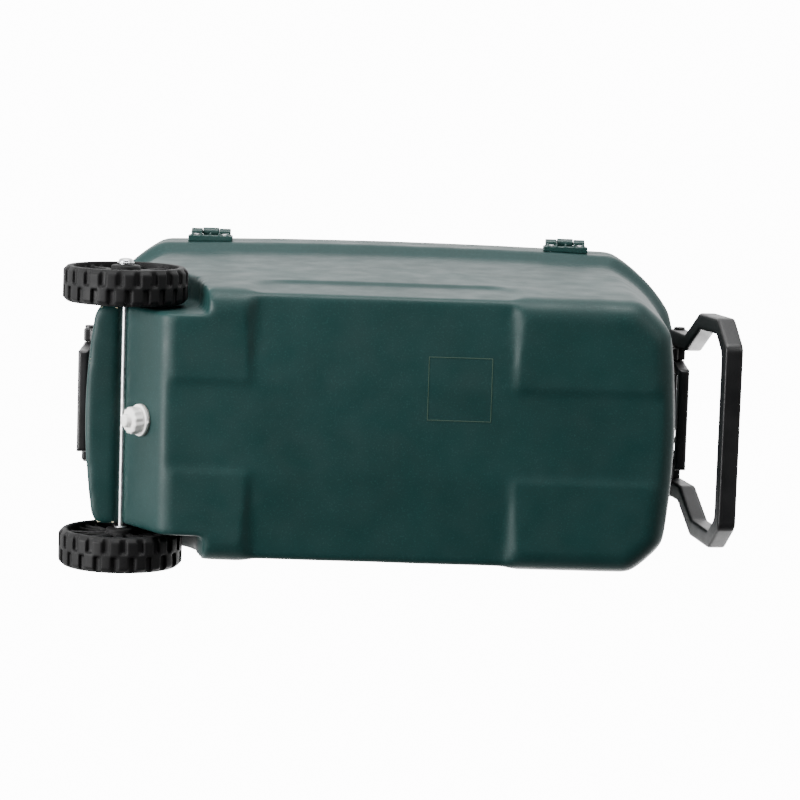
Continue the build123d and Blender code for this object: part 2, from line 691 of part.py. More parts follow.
for end_name, end in ENDS.items():
    reach = PIVOT_X + BLOCK_OUT
    plate_face = PIVOT_X - PLATE_SHY
    low_z = PIVOT_HEIGHT - PLATE_TALL / 2
    high_z = PIVOT_HEIGHT + PLATE_TALL / 2

    inward = Vector(-end, 0, 0)
    screws = []
    for y in (-BRACKET_SCREW_Y, BRACKET_SCREW_Y):
        for z in (PIVOT_HEIGHT - BRACKET_SCREW_Z, PIVOT_HEIGHT + BRACKET_SCREW_Z):
            screws.append(screw(Vector(end * plate_face, y, z), inward, BRACKET_SCREW_LONG))
    bracket_screws[end_name] = grouped(screws)
    save(bracket_screws[end_name], f"bracket_screws_{end_name}_end")

    pin_out = TOW_ARM_OUT if end_name == "tow" else BLOCK_END
    head_at = pin_out + RUN_GAP
    pins = {}
    for side_name, side in (("front", -1), ("back", 1)):
        outward = Vector(0, side, 0)
        with BuildPart() as pin:
            add(
                bar_along(
                    Vector(end * PIVOT_X, side * (NOTCH_IN + RUN_GAP), PIVOT_HEIGHT),
                    outward, HANDLE_PIN / 2, head_at - NOTCH_IN - RUN_GAP,
                )
            )
            add(
                bar_along(
                    Vector(end * PIVOT_X, side * head_at, PIVOT_HEIGHT),
                    outward, HANDLE_PIN_HEAD / 2, HANDLE_PIN_HEAD_TALL,
                )
            )
            crown = pin.faces().sort_by(Axis.Y)[-1 if side > 0 else 0]
            fillet(crown.edges(), HANDLE_PIN_HEAD_TALL / 2)
        pins[side_name] = pin.part
        save(pin.part, f"handle_pin_{end_name}_{side_name}")

    with BuildPart() as bracket:
        add(end_slab(end, (WALL_Y, -BLOCK_END, low_z), (plate_face, BLOCK_END, high_z)))
        for side in (-1, 1):
            notch_low = (PIVOT_X - NOTCH_SHY, side * NOTCH_IN, low_z)
            add(end_slab(end, notch_low, (FAR, side * BLOCK_IN, high_z)), mode=Mode.SUBTRACT)
            block_low = (WALL_Y, side * BLOCK_IN, PIVOT_HEIGHT - BLOCK_HALF_TALL)
            block_high = (reach, side * BLOCK_END, PIVOT_HEIGHT + BLOCK_HALF_TALL)
            add(end_slab(end, block_low, block_high))
        block_faces = bracket.faces().filter_by(Axis.X).group_by(Axis.X)[-1 if end > 0 else 0]
        fillet(block_faces.edges().filter_by(Axis.Y), BRACKET_ROUND)
        add(outer_form, mode=Mode.SUBTRACT)
        for part in pins.values():
            add(part, mode=Mode.SUBTRACT)
        add(bracket_screws[end_name], mode=Mode.SUBTRACT)
    save(bracket.part, f"handle_bracket_{end_name}_end")

    with BuildPart() as bail:
        with BuildSketch(Plane.YZ.offset(end * PIVOT_X)):
            with BuildLine():
                grip_top = PIVOT_HEIGHT - BAIL_DROP + BAIL_GRIP_TALL
                grip_low = PIVOT_HEIGHT - BAIL_DROP
                shoulder = PIVOT_HEIGHT - BAIL_HUB
                Polyline(
                    (-BAIL_ARM_OUT, PIVOT_HEIGHT), (-BAIL_ARM_OUT, shoulder),
                    (-BAIL_GRIP_HALF, grip_top), (-BAIL_GRIP_HALF, grip_low),
                    (BAIL_GRIP_HALF, grip_low), (BAIL_GRIP_HALF, grip_top),
                    (BAIL_ARM_OUT, shoulder), (BAIL_ARM_OUT, PIVOT_HEIGHT),
                    (BAIL_ARM_IN, PIVOT_HEIGHT), (BAIL_ARM_IN, grip_top),
                    (-BAIL_ARM_IN, grip_top), (-BAIL_ARM_IN, PIVOT_HEIGHT), close=True,
                )
            make_face()
        extrude(amount=BAIL_THICK / 2, both=True)
        low_edges = bail.edges().group_by(Axis.Z)[0]
        fillet(low_edges, BAIL_ROUND)
        for side in (-1, 1):
            add(
                bar_along(
                    Vector(end * PIVOT_X, side * BAIL_ARM_IN, PIVOT_HEIGHT),
                    Vector(0, side, 0), BAIL_HUB, BAIL_ARM_OUT - BAIL_ARM_IN,
                )
            )
        for side in (-1, 1):
            bore = bar_along(
                Vector(end * PIVOT_X, side * NOTCH_IN, PIVOT_HEIGHT),
                Vector(0, side, 0), HANDLE_PIN / 2 + PIN_FIT, BLOCK_END - NOTCH_IN,
            )
            add(bore, mode=Mode.SUBTRACT)
    save(bail.part, f"side_handle_{end_name}_end")

# ---- tow handle, in its own leaning plane through the pins
swung = radians(TOW_SWUNG)
tow_plane = Plane(
    origin=(-PIVOT_X, 0, PIVOT_HEIGHT), x_dir=(0, 1, 0), z_dir=(cos(swung), 0, -sin(swung))
)


def tow_face(inner):
    """Half outline points of the handle's loop: its outer or its inner edge."""
    bar = TOW_BAR if inner else 0.0
    top = TOW_THICK / 2
    if inner:
        half = [
            (TOW_ARM_IN, top), (TOW_ARM_IN, -TOW_STRAIGHT - bar / 4),
            (TOW_KNEE_OUT - bar, -TOW_KNEE - bar / 4), (TOW_GRIP_OUT - bar, -TOW_CORNER + bar / 4),
            (TOW_GRIP_HALF - bar / 2, -TOW_LONG + bar),
        ]
    else:
        half = [
            (TOW_ARM_OUT, top), (TOW_ARM_OUT, -TOW_STRAIGHT), (TOW_KNEE_OUT, -TOW_KNEE),
            (TOW_GRIP_OUT, -TOW_CORNER), (TOW_GRIP_HALF, -TOW_LONG),
        ]
    return half + [(-x, y) for x, y in reversed(half)]


with BuildPart() as tow_handle:
    with BuildSketch(tow_plane) as tow_sketch:
        with BuildLine():
            Polyline(*tow_face(False), close=True)
        make_face()
        with BuildLine():
            Polyline(*tow_face(True), close=True)
        make_face(mode=Mode.SUBTRACT)
        bends = [v for v in tow_sketch.vertices() if v.Y < -TOW_STRAIGHT / 2]
        fillet(bends, TOW_BEND)
    extrude(amount=TOW_THICK / 2, both=True)
    long_edges = [
        e for e in tow_handle.edges()
        if abs(tow_plane.to_local_coords(e.center()).Z) > TOW_THICK / 2 - SLICE
        and tow_plane.to_local_coords(e.center()).Y < TOW_THICK / 2 - TOW_EDGE
    ]
    fillet(long_edges, TOW_EDGE)
    for side in (-1, 1):
        bore = bar_along(
            Vector(-PIVOT_X, side * BLOCK_IN, PIVOT_HEIGHT),
            Vector(0, side, 0), HANDLE_PIN / 2 + PIN_FIT, TOW_ARM_OUT,
        )
        add(bore, mode=Mode.SUBTRACT)
save(tow_handle.part, "tow_handle")

# ---- body shell, foam and liner
with BuildPart() as label_outline:
    with BuildSketch(Plane.XY.offset(-LABEL_DEEP)):
        with Locations((LABEL_X, LABEL_Y)):
            Rectangle(LABEL_SIDE, LABEL_SIDE)
            Rectangle(LABEL_SIDE - LABEL_LINE, LABEL_SIDE - LABEL_LINE, mode=Mode.SUBTRACT)
    extrude(amount=PAD + SCOOP + 2 * LABEL_DEEP)
    # it follows the foot's surface, this deep
    add(outer_form.moved(Location((0, 0, LABEL_DEEP))), mode=Mode.SUBTRACT)

with BuildPart() as body_shell:
    add(outer_form)
    add(hollow_form, mode=Mode.SUBTRACT)
    for fastening in (drain_way, hinge_screws_body, *bracket_screws.values()):
        add(fastening, mode=Mode.SUBTRACT)
    add(label_outline.part, mode=Mode.SUBTRACT)
save(body_shell.part, "body_shell")

with BuildPart() as body_insulation:
    add(foam_form)
    add(liner_form, mode=Mode.SUBTRACT)
    for fastening in (drain_way, hinge_screws_body, *bracket_screws.values()):
        add(fastening, mode=Mode.SUBTRACT)
save(body_insulation.part, "body_insulation")

lip_plan = outline(LIP_BOTTOM, RIM_PLAN, SHELL_WALL + LIP_GAP, shell_corner)
with BuildPart() as body_liner:
    add(lip_plan)
    extrude(amount=LINER_WALL)
    add(liner_form)
    add(cavity_form, mode=Mode.SUBTRACT)
    add(drain_way, mode=Mode.SUBTRACT)
save(body_liner.part, "body_liner")

# ---- lid
cup_places = [(x, y) for x in (-CUP_X, CUP_X) for y in (-CUP_Y, CUP_Y)]
hollow_plan = outline(LID_BOTTOM, RIM_PLAN, LID_WALL, shell_corner)
seat_plan = outline(LID_TOP - SEAT_DEEP, RIM_PLAN, SEAT_IN, CORNER_ROUND)
seat_under_plan = outline(
    LID_TOP - SEAT_DEEP - LID_WALL, RIM_PLAN, SEAT_IN - LID_WALL, CORNER_ROUND
)
cup_low = LID_TOP - SEAT_DEEP - CUP_DEEP

with BuildPart() as lid_hollow:
    add(hollow_plan)
    extrude(amount=LID_TOP - LID_WALL - LID_BOTTOM)
    fillet(lid_hollow.edges().group_by(Axis.Z)[-1], LID_ROUND - LID_WALL)
    add(seat_under_plan)
    extrude(amount=LID_TOP, mode=Mode.SUBTRACT)
    with BuildSketch(Plane.XY.offset(cup_low - LID_WALL)):
        with Locations(*cup_places):
            Circle(CUP_RADIUS + LID_WALL)
    extrude(amount=LID_TOP, mode=Mode.SUBTRACT)

with BuildPart() as lid_shell:
    add(lid_plan)
    extrude(amount=LID_TOP - LID_BOTTOM)
    fillet(lid_shell.edges().group_by(Axis.Z)[-1], LID_ROUND)
    add(seat_plan)
    extrude(amount=LID_TOP, mode=Mode.SUBTRACT)
    with BuildSketch(Plane.XY.offset(cup_low)):
        with Locations(*cup_places):
            Circle(CUP_RADIUS)
    extrude(amount=LID_TOP, mode=Mode.SUBTRACT)
    with BuildSketch(Plane.XY.offset(LID_BOTTOM)):
        with Locations((0, -HALF_DEPTH)):
            RectangleRounded(2 * GRIP_HALF, 2 * GRIP_OUT, GRIP_CORNER)
    extrude(amount=GRIP_TALL)
    add(lid_hollow.part, mode=Mode.SUBTRACT)
    add(hinge_screws_lid, mode=Mode.SUBTRACT)
save(lid_shell.part, "lid_shell")

pan_plan = outline(LID_BOTTOM, RIM_PLAN, LID_WALL + LIP_GAP, shell_corner)
plug_low = RIM_TOP - PLUG_DEEP
plug_mouth = wall_plan(plug_low)


def plug_outline(z, gap):
    """The plug's outline under the lid, this far inside the tub's mouth."""
    inset = TUB_IN + gap
    with BuildSketch(Plane.XY.offset(z)) as face:
        RectangleRounded(
            2 * (plug_mouth.tow_x - inset), 2 * (plug_mouth.half_depth - inset),
            tub_corner - gap,
        )
    return face.sketch


plug_plan = plug_outline(plug_low, PLUG_GAP)
tray_plan = plug_outline(plug_low + LID_LINER, PLUG_GAP + LID_LINER)
with BuildPart() as lid_liner:
    add(pan_plan)
    extrude(amount=LID_LINER)
    add(plug_plan)
    extrude(amount=LID_BOTTOM - plug_low)
    fillet(lid_liner.edges().group_by(Axis.Z)[0], CUP_ROUND)
    add(tray_plan)
    extrude(amount=LID_TOP, mode=Mode.SUBTRACT)
save(lid_liner.part, "lid_liner")

with BuildPart() as lid_insulation:
    add(tray_plan)
    extrude(amount=LID_BOTTOM + LID_LINER - plug_low - LID_LINER)
    with BuildSketch(Plane.XY.offset(LID_BOTTOM + LID_LINER)):
        Rectangle(RIM_LENGTH, RIM_DEPTH)
    extrude(amount=LID_TOP)
    add(lid_hollow.part, mode=Mode.INTERSECT)
    add(hinge_screws_lid, mode=Mode.SUBTRACT)
save(lid_insulation.part, "lid_insulation")

# ---- axle, washers and end caps
hub_in = WHEEL_IN - HUB_PROUD
hub_out = WHEEL_OUT + HUB_PROUD
washer_at = hub_out + RUN_GAP
cap_at = washer_at + WASHER
axle_half = cap_at + AXLE_PAST_HUB
axle_line = Vector(AXLE_X, 0, AXLE_Z)
axle = bar_along(axle_line - back * axle_half, back, AXLE_DIAMETER / 2, 2 * axle_half)
save(axle, "axle")

washers = []
for side in (-1, 1):
    for at in (hub_in - RUN_GAP - WASHER, washer_at):
        with BuildPart() as washer:
            add(
                bar_along(
                    axle_line + back * (side * at), back * side, WASHER_RADIUS, WASHER
                )
            )
            add(axle, mode=Mode.SUBTRACT)
        washers.append(washer.part)
save(grouped(washers), "axle_washers")

for side_name, side in (("front", -1), ("back", 1)):
    outward = back * side
    with BuildPart() as axle_cap:
        add(bar_along(axle_line + outward * cap_at, outward, CAP_RADIUS, CAP_LONG))
        crown = axle_cap.faces().sort_by(Axis.Y)[-1 if side > 0 else 0]
        fillet(crown.edges(), CAP_ROUND)
        add(axle, mode=Mode.SUBTRACT)
    save(axle_cap.part, f"axle_cap_{side_name}")

# ---- wheels: each one moulding, with tread blocks, spokes and a hub
for side_name, side in (("front", -1), ("back", 1)):
    inner_face = Plane(
        origin=axle_line + back * (side * WHEEL_IN), x_dir=(1, 0, 0), z_dir=back * side
    )
    ring_in = WHEEL_RADIUS - RIM_RING
    with BuildPart() as wheel:
        with BuildSketch(inner_face):
            Circle(WHEEL_RADIUS)
        extrude(amount=WHEEL_WIDTH)
        rims = wheel.edges().filter_by(GeomType.CIRCLE)
        chamfer(rims, TREAD_SHOULDER)
        pocket = (WHEEL_WIDTH - WEB) / 2
        for low in (0.0, WHEEL_WIDTH - pocket):
            with BuildSketch(inner_face.offset(low)):
                Circle(ring_in)
                Circle(HUB_RADIUS, mode=Mode.SUBTRACT)
            extrude(amount=pocket, mode=Mode.SUBTRACT)
        with BuildSketch(inner_face.offset(SPOKE_SHY)):
            with PolarLocations((ring_in + HUB_RADIUS) / 2, SPOKES):
                Rectangle(ring_in - HUB_RADIUS + RIM_RING / 2, SPOKE_WIDE)
        extrude(amount=WHEEL_WIDTH - 2 * SPOKE_SHY)
        with BuildSketch(inner_face.offset(-HUB_PROUD)):
            Circle(HUB_RADIUS - HUB_PROUD)
        extrude(amount=WHEEL_WIDTH + 2 * HUB_PROUD)
        half_turn = 180 / TREAD_BLOCKS
        row = (WHEEL_WIDTH - TREAD_RIB) / 2
        for low, start in ((0.0, 0.0), (row + TREAD_RIB, half_turn)):
            with BuildSketch(inner_face.offset(low)):
                with PolarLocations(WHEEL_RADIUS, TREAD_BLOCKS, start_angle=start):
                    Rectangle(2 * TREAD_DEPTH, TREAD_GROOVE)
            extrude(amount=row, mode=Mode.SUBTRACT)
        with BuildSketch(inner_face.offset(-HUB_PROUD)):
            Circle(AXLE_DIAMETER / 2 + AXLE_FIT)
        extrude(amount=WHEEL_WIDTH + 2 * HUB_PROUD, mode=Mode.SUBTRACT)
    save(wheel.part, f"wheel_{side_name}")

# ---- written out about the middle of the whole cooler's box
boxes = [piece.bounding_box() for piece in finished.values()]
MIDDLE_X = (min(box.min.X for box in boxes) + max(box.max.X for box in boxes)) / 2
MIDDLE_Y = (min(box.min.Y for box in boxes) + max(box.max.Y for box in boxes)) / 2
for name, piece in finished.items():
    export_step(piece.moved(Location((-MIDDLE_X, -MIDDLE_Y, 0))), f"parts/{name}.step")
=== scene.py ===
"""The looks of a wheeled cooler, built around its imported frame.

Everything is in metres in the frame of the CAD model: X runs along the cooler with the wheels
at +X and the tow handle at -X, Y runs across it with the hinges at +Y, Z is up and the ground
is at Z = 0. Each sub-assembly is a class that holds its sizes and builds and dresses its pieces.
"""
from __future__ import annotations

import json
import logging
from dataclasses import dataclass
from enum import Enum
from math import cos, pi, radians, sin

import bmesh
import bpy
from mathutils import Matrix, Vector, noise
from mathutils.bvhtree import BVHTree


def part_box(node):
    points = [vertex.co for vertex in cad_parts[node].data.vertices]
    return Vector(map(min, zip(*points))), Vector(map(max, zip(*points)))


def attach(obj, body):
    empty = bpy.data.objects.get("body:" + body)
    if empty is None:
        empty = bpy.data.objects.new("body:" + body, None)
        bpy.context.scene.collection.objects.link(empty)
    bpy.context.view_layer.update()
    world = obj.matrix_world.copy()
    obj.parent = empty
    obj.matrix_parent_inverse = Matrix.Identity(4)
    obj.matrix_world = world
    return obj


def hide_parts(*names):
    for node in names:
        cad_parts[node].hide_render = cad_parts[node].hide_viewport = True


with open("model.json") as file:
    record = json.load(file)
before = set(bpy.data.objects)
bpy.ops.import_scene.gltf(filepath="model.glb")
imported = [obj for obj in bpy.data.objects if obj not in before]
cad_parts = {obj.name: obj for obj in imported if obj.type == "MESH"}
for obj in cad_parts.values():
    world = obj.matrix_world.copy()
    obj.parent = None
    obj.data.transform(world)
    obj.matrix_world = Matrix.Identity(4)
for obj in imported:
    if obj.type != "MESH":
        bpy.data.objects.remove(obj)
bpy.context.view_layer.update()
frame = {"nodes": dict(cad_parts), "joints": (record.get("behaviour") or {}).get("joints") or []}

log = logging.getLogger("cooler")
MM = 0.001
MERGE = 0.01 * MM
RIM_NEAR = 5 * MERGE  # a corner this near the rim's height lies on the rim
MOUTH_DRAWN = 24 * MM  # how far a skin runs on past its rim before it is cut there
SCREW_HOLE = 2.4 * MM
ALONG_X, ALONG_Y, ALONG_Z = Vector((1, 0, 0)), Vector((0, 1, 0)), Vector((0, 0, 1))
Colour = tuple[float, float, float]
Triple = tuple[float, float, float]
Pair = tuple[float, float]


class Slot(Enum):
    """The record's material slots."""

    SHELL = "green_shell"
    HINGE = "green_hinge"
    LINER = "white_liner"
    FOAM = "foam_core"
    HANDLE = "black_handle"
    PIN = "black_pin"
    WHEEL = "wheel_plastic"
    RUBBER = "seal_rubber"
    DRAIN = "drain_white"
    CAP = "cap_steel"
    STEEL = "bare_steel"


class Side(Enum):
    """The front and the back of the cooler, with the sign of Y on each."""

    FRONT = -1
    BACK = 1


class End(Enum):
    """The two ends of the cooler, with the sign of X on each."""

    TOW = -1
    WHEEL = 1


# ---------------------------------------------------------------- finishes


class Weave:
    """A short way to lay out a material's nodes."""

    def __init__(self, name: str) -> None:
        """Start a material with one principled shader.

        Args:
            name: The material's name.
        """
        self.material = bpy.data.materials.new(name)
        self.material.use_nodes = True
        self.tree = self.material.node_tree
        self.shader = self.tree.nodes["Principled BSDF"]
        self.place = self.node("ShaderNodeTexCoord").outputs["Object"]

    def node(self, kind: str, **settings: object) -> bpy.types.Node:
        """Add a node and set its own properties.

        Args:
            kind: The node's type name.
            **settings: Properties of the node.

        Returns:
            The new node.
        """
        made = self.tree.nodes.new(kind)
        for key, value in settings.items():
            setattr(made, key, value)
        return made

    def link(self, source: bpy.types.NodeSocket, target: bpy.types.NodeSocket) -> None:
        """Join two sockets.

        Args:
            source: The output.
            target: The input.
        """
        self.tree.links.new(source, target)

    def stretched(self, stretch: Triple) -> bpy.types.NodeSocket:
        """Object coordinates scaled along each axis.

        Args:
            stretch: The scale along X, Y and Z.

        Returns:
            The vector socket.
        """
        mapping = self.node("ShaderNodeMapping")
        mapping.inputs["Scale"].default_value = stretch
        self.link(self.place, mapping.inputs["Vector"])
        return mapping.outputs["Vector"]

    def clouds(
        self, size: float, detail: float = 3.0, stretch: Triple = (1.0, 1.0, 1.0)
    ) -> bpy.types.NodeSocket:
        """Soft noise whose lumps are about this size.

        Args:
            size: The lumps' size in metres.
            detail: How many finer layers it has.
            stretch: The scale along each axis.

        Returns:
            The factor socket.
        """
        made = self.node("ShaderNodeTexNoise")
        made.inputs["Scale"].default_value = 1.0 / size
        made.inputs["Detail"].default_value = detail
        self.link(self.stretched(stretch), made.inputs["Vector"])
        return made.outputs["Fac"]

    def pebbles(self, size: float) -> bpy.types.NodeSocket:
        """Rounded cells of about this size.

        Args:
            size: The cells' size in metres.

        Returns:
            The distance socket.
        """
        made = self.node("ShaderNodeTexVoronoi", feature="SMOOTH_F1")
        made.inputs["Scale"].default_value = 1.0 / size
        self.link(self.place, made.inputs["Vector"])
        return made.outputs["Distance"]

    def ramp(
        self, source: bpy.types.NodeSocket, low: float, high: float, start: float, end: float
    ) -> bpy.types.NodeSocket:
        """Map a range of one value onto another, clamped.

        Args:
            source: The value.
            low: Where the range starts.
            high: Where it ends.
            start: What the low end becomes.
            end: What the high end becomes.

        Returns:
            The mapped value's socket.
        """
        made = self.node("ShaderNodeMapRange")
        for socket, value in zip(("From Min", "From Max", "To Min", "To Max"),
                                 (low, high, start, end)):
            made.inputs[socket].default_value = value
        self.link(source, made.inputs["Value"])
        return made.outputs["Result"]

    def blend(
        self,
        factor: bpy.types.NodeSocket,
        first: Colour | bpy.types.NodeSocket,
        second: Colour | bpy.types.NodeSocket,
    ) -> bpy.types.NodeSocket:
        """Mix two colours.

        Args:
            factor: How far towards the second.
            first: A colour or its socket.
            second: A colour or its socket.

        Returns:
            The mixed colour's socket.
        """
        made = self.node("ShaderNodeMix", data_type="RGBA")
        self.link(factor, made.inputs["Factor"])
        for key, colour in (("A", first), ("B", second)):
            socket = [s for s in made.inputs if s.name == key and s.type == "RGBA"][0]
            if isinstance(colour, tuple):
                socket.default_value = (*colour, 1.0)
            else:
                self.link(colour, socket)
        return [s for s in made.outputs if s.type == "RGBA"][0]

    def edges(self, low: float, high: float, most: float) -> bpy.types.NodeSocket:
        """How much a point lies on a worn outer edge.

        Args:
            low: Pointiness where the wear starts.
            high: Pointiness where it is full.
            most: The full wear.

        Returns:
            The wear's socket.
        """
        return self.ramp(self.node("ShaderNodeNewGeometry").outputs["Pointiness"],
                         low, high, 0.0, most)

    def bump(self, *layers: tuple[bpy.types.NodeSocket, float]) -> None:
        """Stack height layers on the shader's normal.

        Args:
            *layers: Each a height socket and its depth in metres.
        """
        normal = None
        for height, depth in layers:
            made = self.node("ShaderNodeBump")
            made.inputs["Distance"].default_value = depth
            self.link(height, made.inputs["Height"])
            if normal is not None:
                self.link(normal, made.inputs["Normal"])
            normal = made.outputs["Normal"]
        self.link(normal, self.shader.inputs["Normal"])

    def set(self, **values: float) -> None:
        """Set constants on the shader's own sockets.

        Args:
            **values: A value for each socket, with underscores for spaces in its name.
        """
        for key, value in values.items():
            self.shader.inputs[key.replace("_", " ")].default_value = value


@dataclass(frozen=True)
class Moulded:
    """Moulded plastic with pebble grain, colour drift, handling marks and worn edges."""

    name: str
    colour: Colour
    drift: Colour
    worn: Colour
    rough: Pair = (0.36, 0.5)
    grain: float = 1.1 * MM
    grain_depth: float = 0.05 * MM
    drift_size: float = 90 * MM
    drift_range: Pair = (0.35, 0.65)
    fleck_range: Pair = (0.56, 0.72)
    fleck_most: float = 0.22
    streak_size: float = 4 * MM
    streak_stretch: Triple = (1.0, 0.06, 0.3)
    streak_range: Pair = (0.68, 0.8)
    streak_most: float = 0.16
    wear: float = 0.35
    wear_from: Pair = (0.53, 0.62)
    patch_size: float = 34 * MM
    patch_range: Pair = (0.3, 0.7)
    swell_size: float = 60 * MM
    swell_depth: float = 0.5 * MM
    specular: float = 0.5

    def material(self) -> bpy.types.Material:
        """Build the node material.

        Returns:
            The material.
        """
        w = Weave(self.name)
        broad = w.ramp(w.clouds(self.drift_size, 4.0), *self.drift_range, 0.0, 1.0)
        body = w.blend(broad, self.colour, self.drift)
        fleck = w.ramp(w.clouds(self.grain * 1.7, 2.0), *self.fleck_range, 0.0, self.fleck_most)
        body = w.blend(fleck, body, self.worn)
        streak = w.clouds(self.streak_size, 5.0, self.streak_stretch)
        streak = w.ramp(streak, *self.streak_range, 0.0, self.streak_most)
        body = w.blend(streak, body, self.worn)
        body = w.blend(w.edges(*self.wear_from, self.wear), body, self.worn)
        w.link(body, w.shader.inputs["Base Color"])
        patch = w.clouds(self.patch_size, 5.0)
        w.link(w.ramp(patch, *self.patch_range, *self.rough), w.shader.inputs["Roughness"])
        w.set(Specular_IOR_Level=self.specular)
        w.bump(
            (w.clouds(self.swell_size, 2.0), self.swell_depth),
            (w.pebbles(self.grain), self.grain_depth),
            (w.clouds(self.grain * 0.5, 2.0), self.grain_depth * 0.5),
        )
        return w.material


@dataclass(frozen=True)
class Metal:
    """Drawn or pressed metal with fine lines, dull patches and specks of tarnish."""

    name: str
    colour: Colour
    tarnish: Colour
    rough: Pair = (0.22, 0.42)
    lines: Triple = (1.0, 0.05, 1.0)
    line_size: float = 0.5 * MM
    line_range: Pair = (0.3, 0.7)
    patch_size: float = 7 * MM
    patch_range: Pair = (0.42, 0.7)
    patch_most: float = 0.7
    speck_size: float = 1.1 * MM
    speck_range: Pair = (0.62, 0.74)
    speck_most: float = 0.6
    pit_size: float = 0.9 * MM
    relief: float = 0.03 * MM

    def material(self) -> bpy.types.Material:
        """Build the node material.

        Returns:
            The material.
        """
        w = Weave(self.name)
        drawn = w.clouds(self.line_size, 4.0, self.lines)
        patch = w.clouds(self.patch_size, 5.0)
        patch = w.ramp(patch, *self.patch_range, 0.0, self.patch_most)
        body = w.blend(patch, self.colour, self.tarnish)
        speck = w.clouds(self.speck_size, 3.0)
        speck = w.ramp(speck, *self.speck_range, 0.0, self.speck_most)
        w.link(w.blend(speck, body, self.tarnish), w.shader.inputs["Base Color"])
        w.link(w.ramp(drawn, *self.line_range, *self.rough), w.shader.inputs["Roughness"])
        w.set(Metallic=1.0)
        w.bump((drawn, self.relief), (w.clouds(self.pit_size, 3.0), self.relief))
        return w.material


@dataclass(frozen=True)
class Foam:
    """Rigid foam with open skin cells."""

    name: str
    colour: Colour
    shade: Colour
    cell: float = 2.2 * MM
    cell_range: Pair = (0.1, 0.6)
    cell_depth: float = 0.5 * MM
    patch_size: float = 15 * MM
    patch_range: Pair = (0.3, 0.7)
    rough: Pair = (0.75, 0.95)
    dust: float = 0.8 * MM
    dust_depth: float = 0.1 * MM

    def material(self) -> bpy.types.Material:
        """Build the node material.

        Returns:
            The material.
        """
        w = Weave(self.name)
        cells = w.pebbles(self.cell)
        w.link(w.blend(w.ramp(cells, *self.cell_range, 0.0, 1.0), self.shade, self.colour),
               w.shader.inputs["Base Color"])
        patch = w.clouds(self.patch_size)
        w.link(w.ramp(patch, *self.patch_range, *self.rough), w.shader.inputs["Roughness"])
        w.bump((cells, self.cell_depth), (w.clouds(self.dust), self.dust_depth))
        return w.material


GREEN = Moulded("green_moulded", (0.0046, 0.029, 0.0275), (0.0039, 0.025, 0.0235),
                (0.026, 0.085, 0.080), rough=(0.46, 0.58), specular=0.3)
# The outline bead is the shell's plastic; its green is made lighter than the shell's as a
# painted highlight, the light that its raised ridge catches.
GREEN_LINE_PAINTED_HIGHLIGHT = Moulded("green_outline", (0.035, 0.070, 0.045), (0.028, 0.06, 0.04),
                     (0.06, 0.10, 0.07), grain=0.6 * MM)
GREEN_HINGE = Moulded("green_hinge_plastic", (0.0060, 0.032, 0.029), (0.0050, 0.028, 0.025),
                      (0.03, 0.075, 0.07), grain=0.7 * MM, grain_depth=0.03 * MM)
BLACK = Moulded("black_handle_plastic", (0.0050, 0.0050, 0.0058), (0.007, 0.007, 0.0078),
                (0.025, 0.025, 0.027), rough=(0.36, 0.5), grain=0.8 * MM, grain_depth=0.04 * MM)
PIN_BLACK = Moulded("black_pin_plastic", (0.0050, 0.0050, 0.0055), (0.007, 0.007, 0.0075),
                    (0.025, 0.025, 0.025), rough=(0.3, 0.44), grain=0.6 * MM)
WHEEL_BLACK = Moulded("wheel_black", (0.0030, 0.0030, 0.0033), (0.0042, 0.0042, 0.0045),
                      (0.010, 0.010, 0.010), rough=(0.56, 0.72), specular=0.25, grain=0.9 * MM,
                      grain_depth=0.05 * MM, wear=0.3)
LINER_WHITE = Moulded("white_liner_plastic", (0.72, 0.74, 0.72), (0.68, 0.70, 0.68),
                      (0.78, 0.79, 0.78), rough=(0.25, 0.36), grain=1.6 * MM,
                      grain_depth=0.01 * MM)
DRAIN_WHITE = Moulded("white_drain_plastic", (0.95, 0.94, 0.92), (0.93, 0.92, 0.89),
                      (0.97, 0.97, 0.96), rough=(0.38, 0.5), grain=0.7 * MM,
                      grain_depth=0.02 * MM, drift_size=12 * MM)
RUBBER = Moulded("seal_rubber", (0.30, 0.29, 0.27), (0.24, 0.23, 0.22), (0.4, 0.4, 0.38),
                 rough=(0.6, 0.8), grain=0.5 * MM, grain_depth=0.02 * MM, drift_size=9 * MM)
FOAM = Foam("foam_core", (0.83, 0.76, 0.55), (0.66, 0.58, 0.38))
ROD = Metal("zinc_rod", (0.82, 0.83, 0.84), (0.50, 0.51, 0.52), rough=(0.28, 0.5),
            lines=(1.0, 0.04, 1.0), line_size=0.6 * MM)
CAP_METAL = Metal("cap_metal", (0.74, 0.75, 0.76), (0.52, 0.53, 0.54), lines=(1.0, 1.0, 1.0))
SCREW_METAL = Metal("screw_metal", (0.64, 0.65, 0.66), (0.42, 0.42, 0.43), rough=(0.25, 0.45),
                    lines=(1.0, 1.0, 1.0), line_size=0.8 * MM)

Finish = Moulded | Metal | Foam
_dressed: dict[str, bpy.types.Material] = {}


def dress(obj: bpy.types.Object, finish: Finish) -> None:
    """Give an object one finish all over.

    Args:
        obj: The object.
        finish: The finish, built once and shared.
    """
    if finish.name not in _dressed:
        _dressed[finish.name] = finish.material()
    obj.data.materials.clear()
    obj.data.materials.append(_dressed[finish.name])


# ---------------------------------------------------------------- mesh tools


def put(bm: bmesh.types.BMesh, name: str, sharp: float = 40.0) -> bpy.types.Object:
    """Turn a bmesh into a smooth-shaded object in the scene.

    Args:
        bm: The mesh, freed afterwards.
        name: The object's name.
        sharp: Edges sharper than this angle in degrees stay crisp.

    Returns:
        The object.
    """
    bmesh.ops.recalc_face_normals(bm, faces=bm.faces)
    mesh = bpy.data.meshes.new(name)
    bm.to_mesh(mesh)
    bm.free()
    mesh.shade_smooth()
    mesh.set_sharp_from_angle(angle=radians(sharp))
    obj = bpy.data.objects.new(name, mesh)
    bpy.context.scene.collection.objects.link(obj)
    return obj


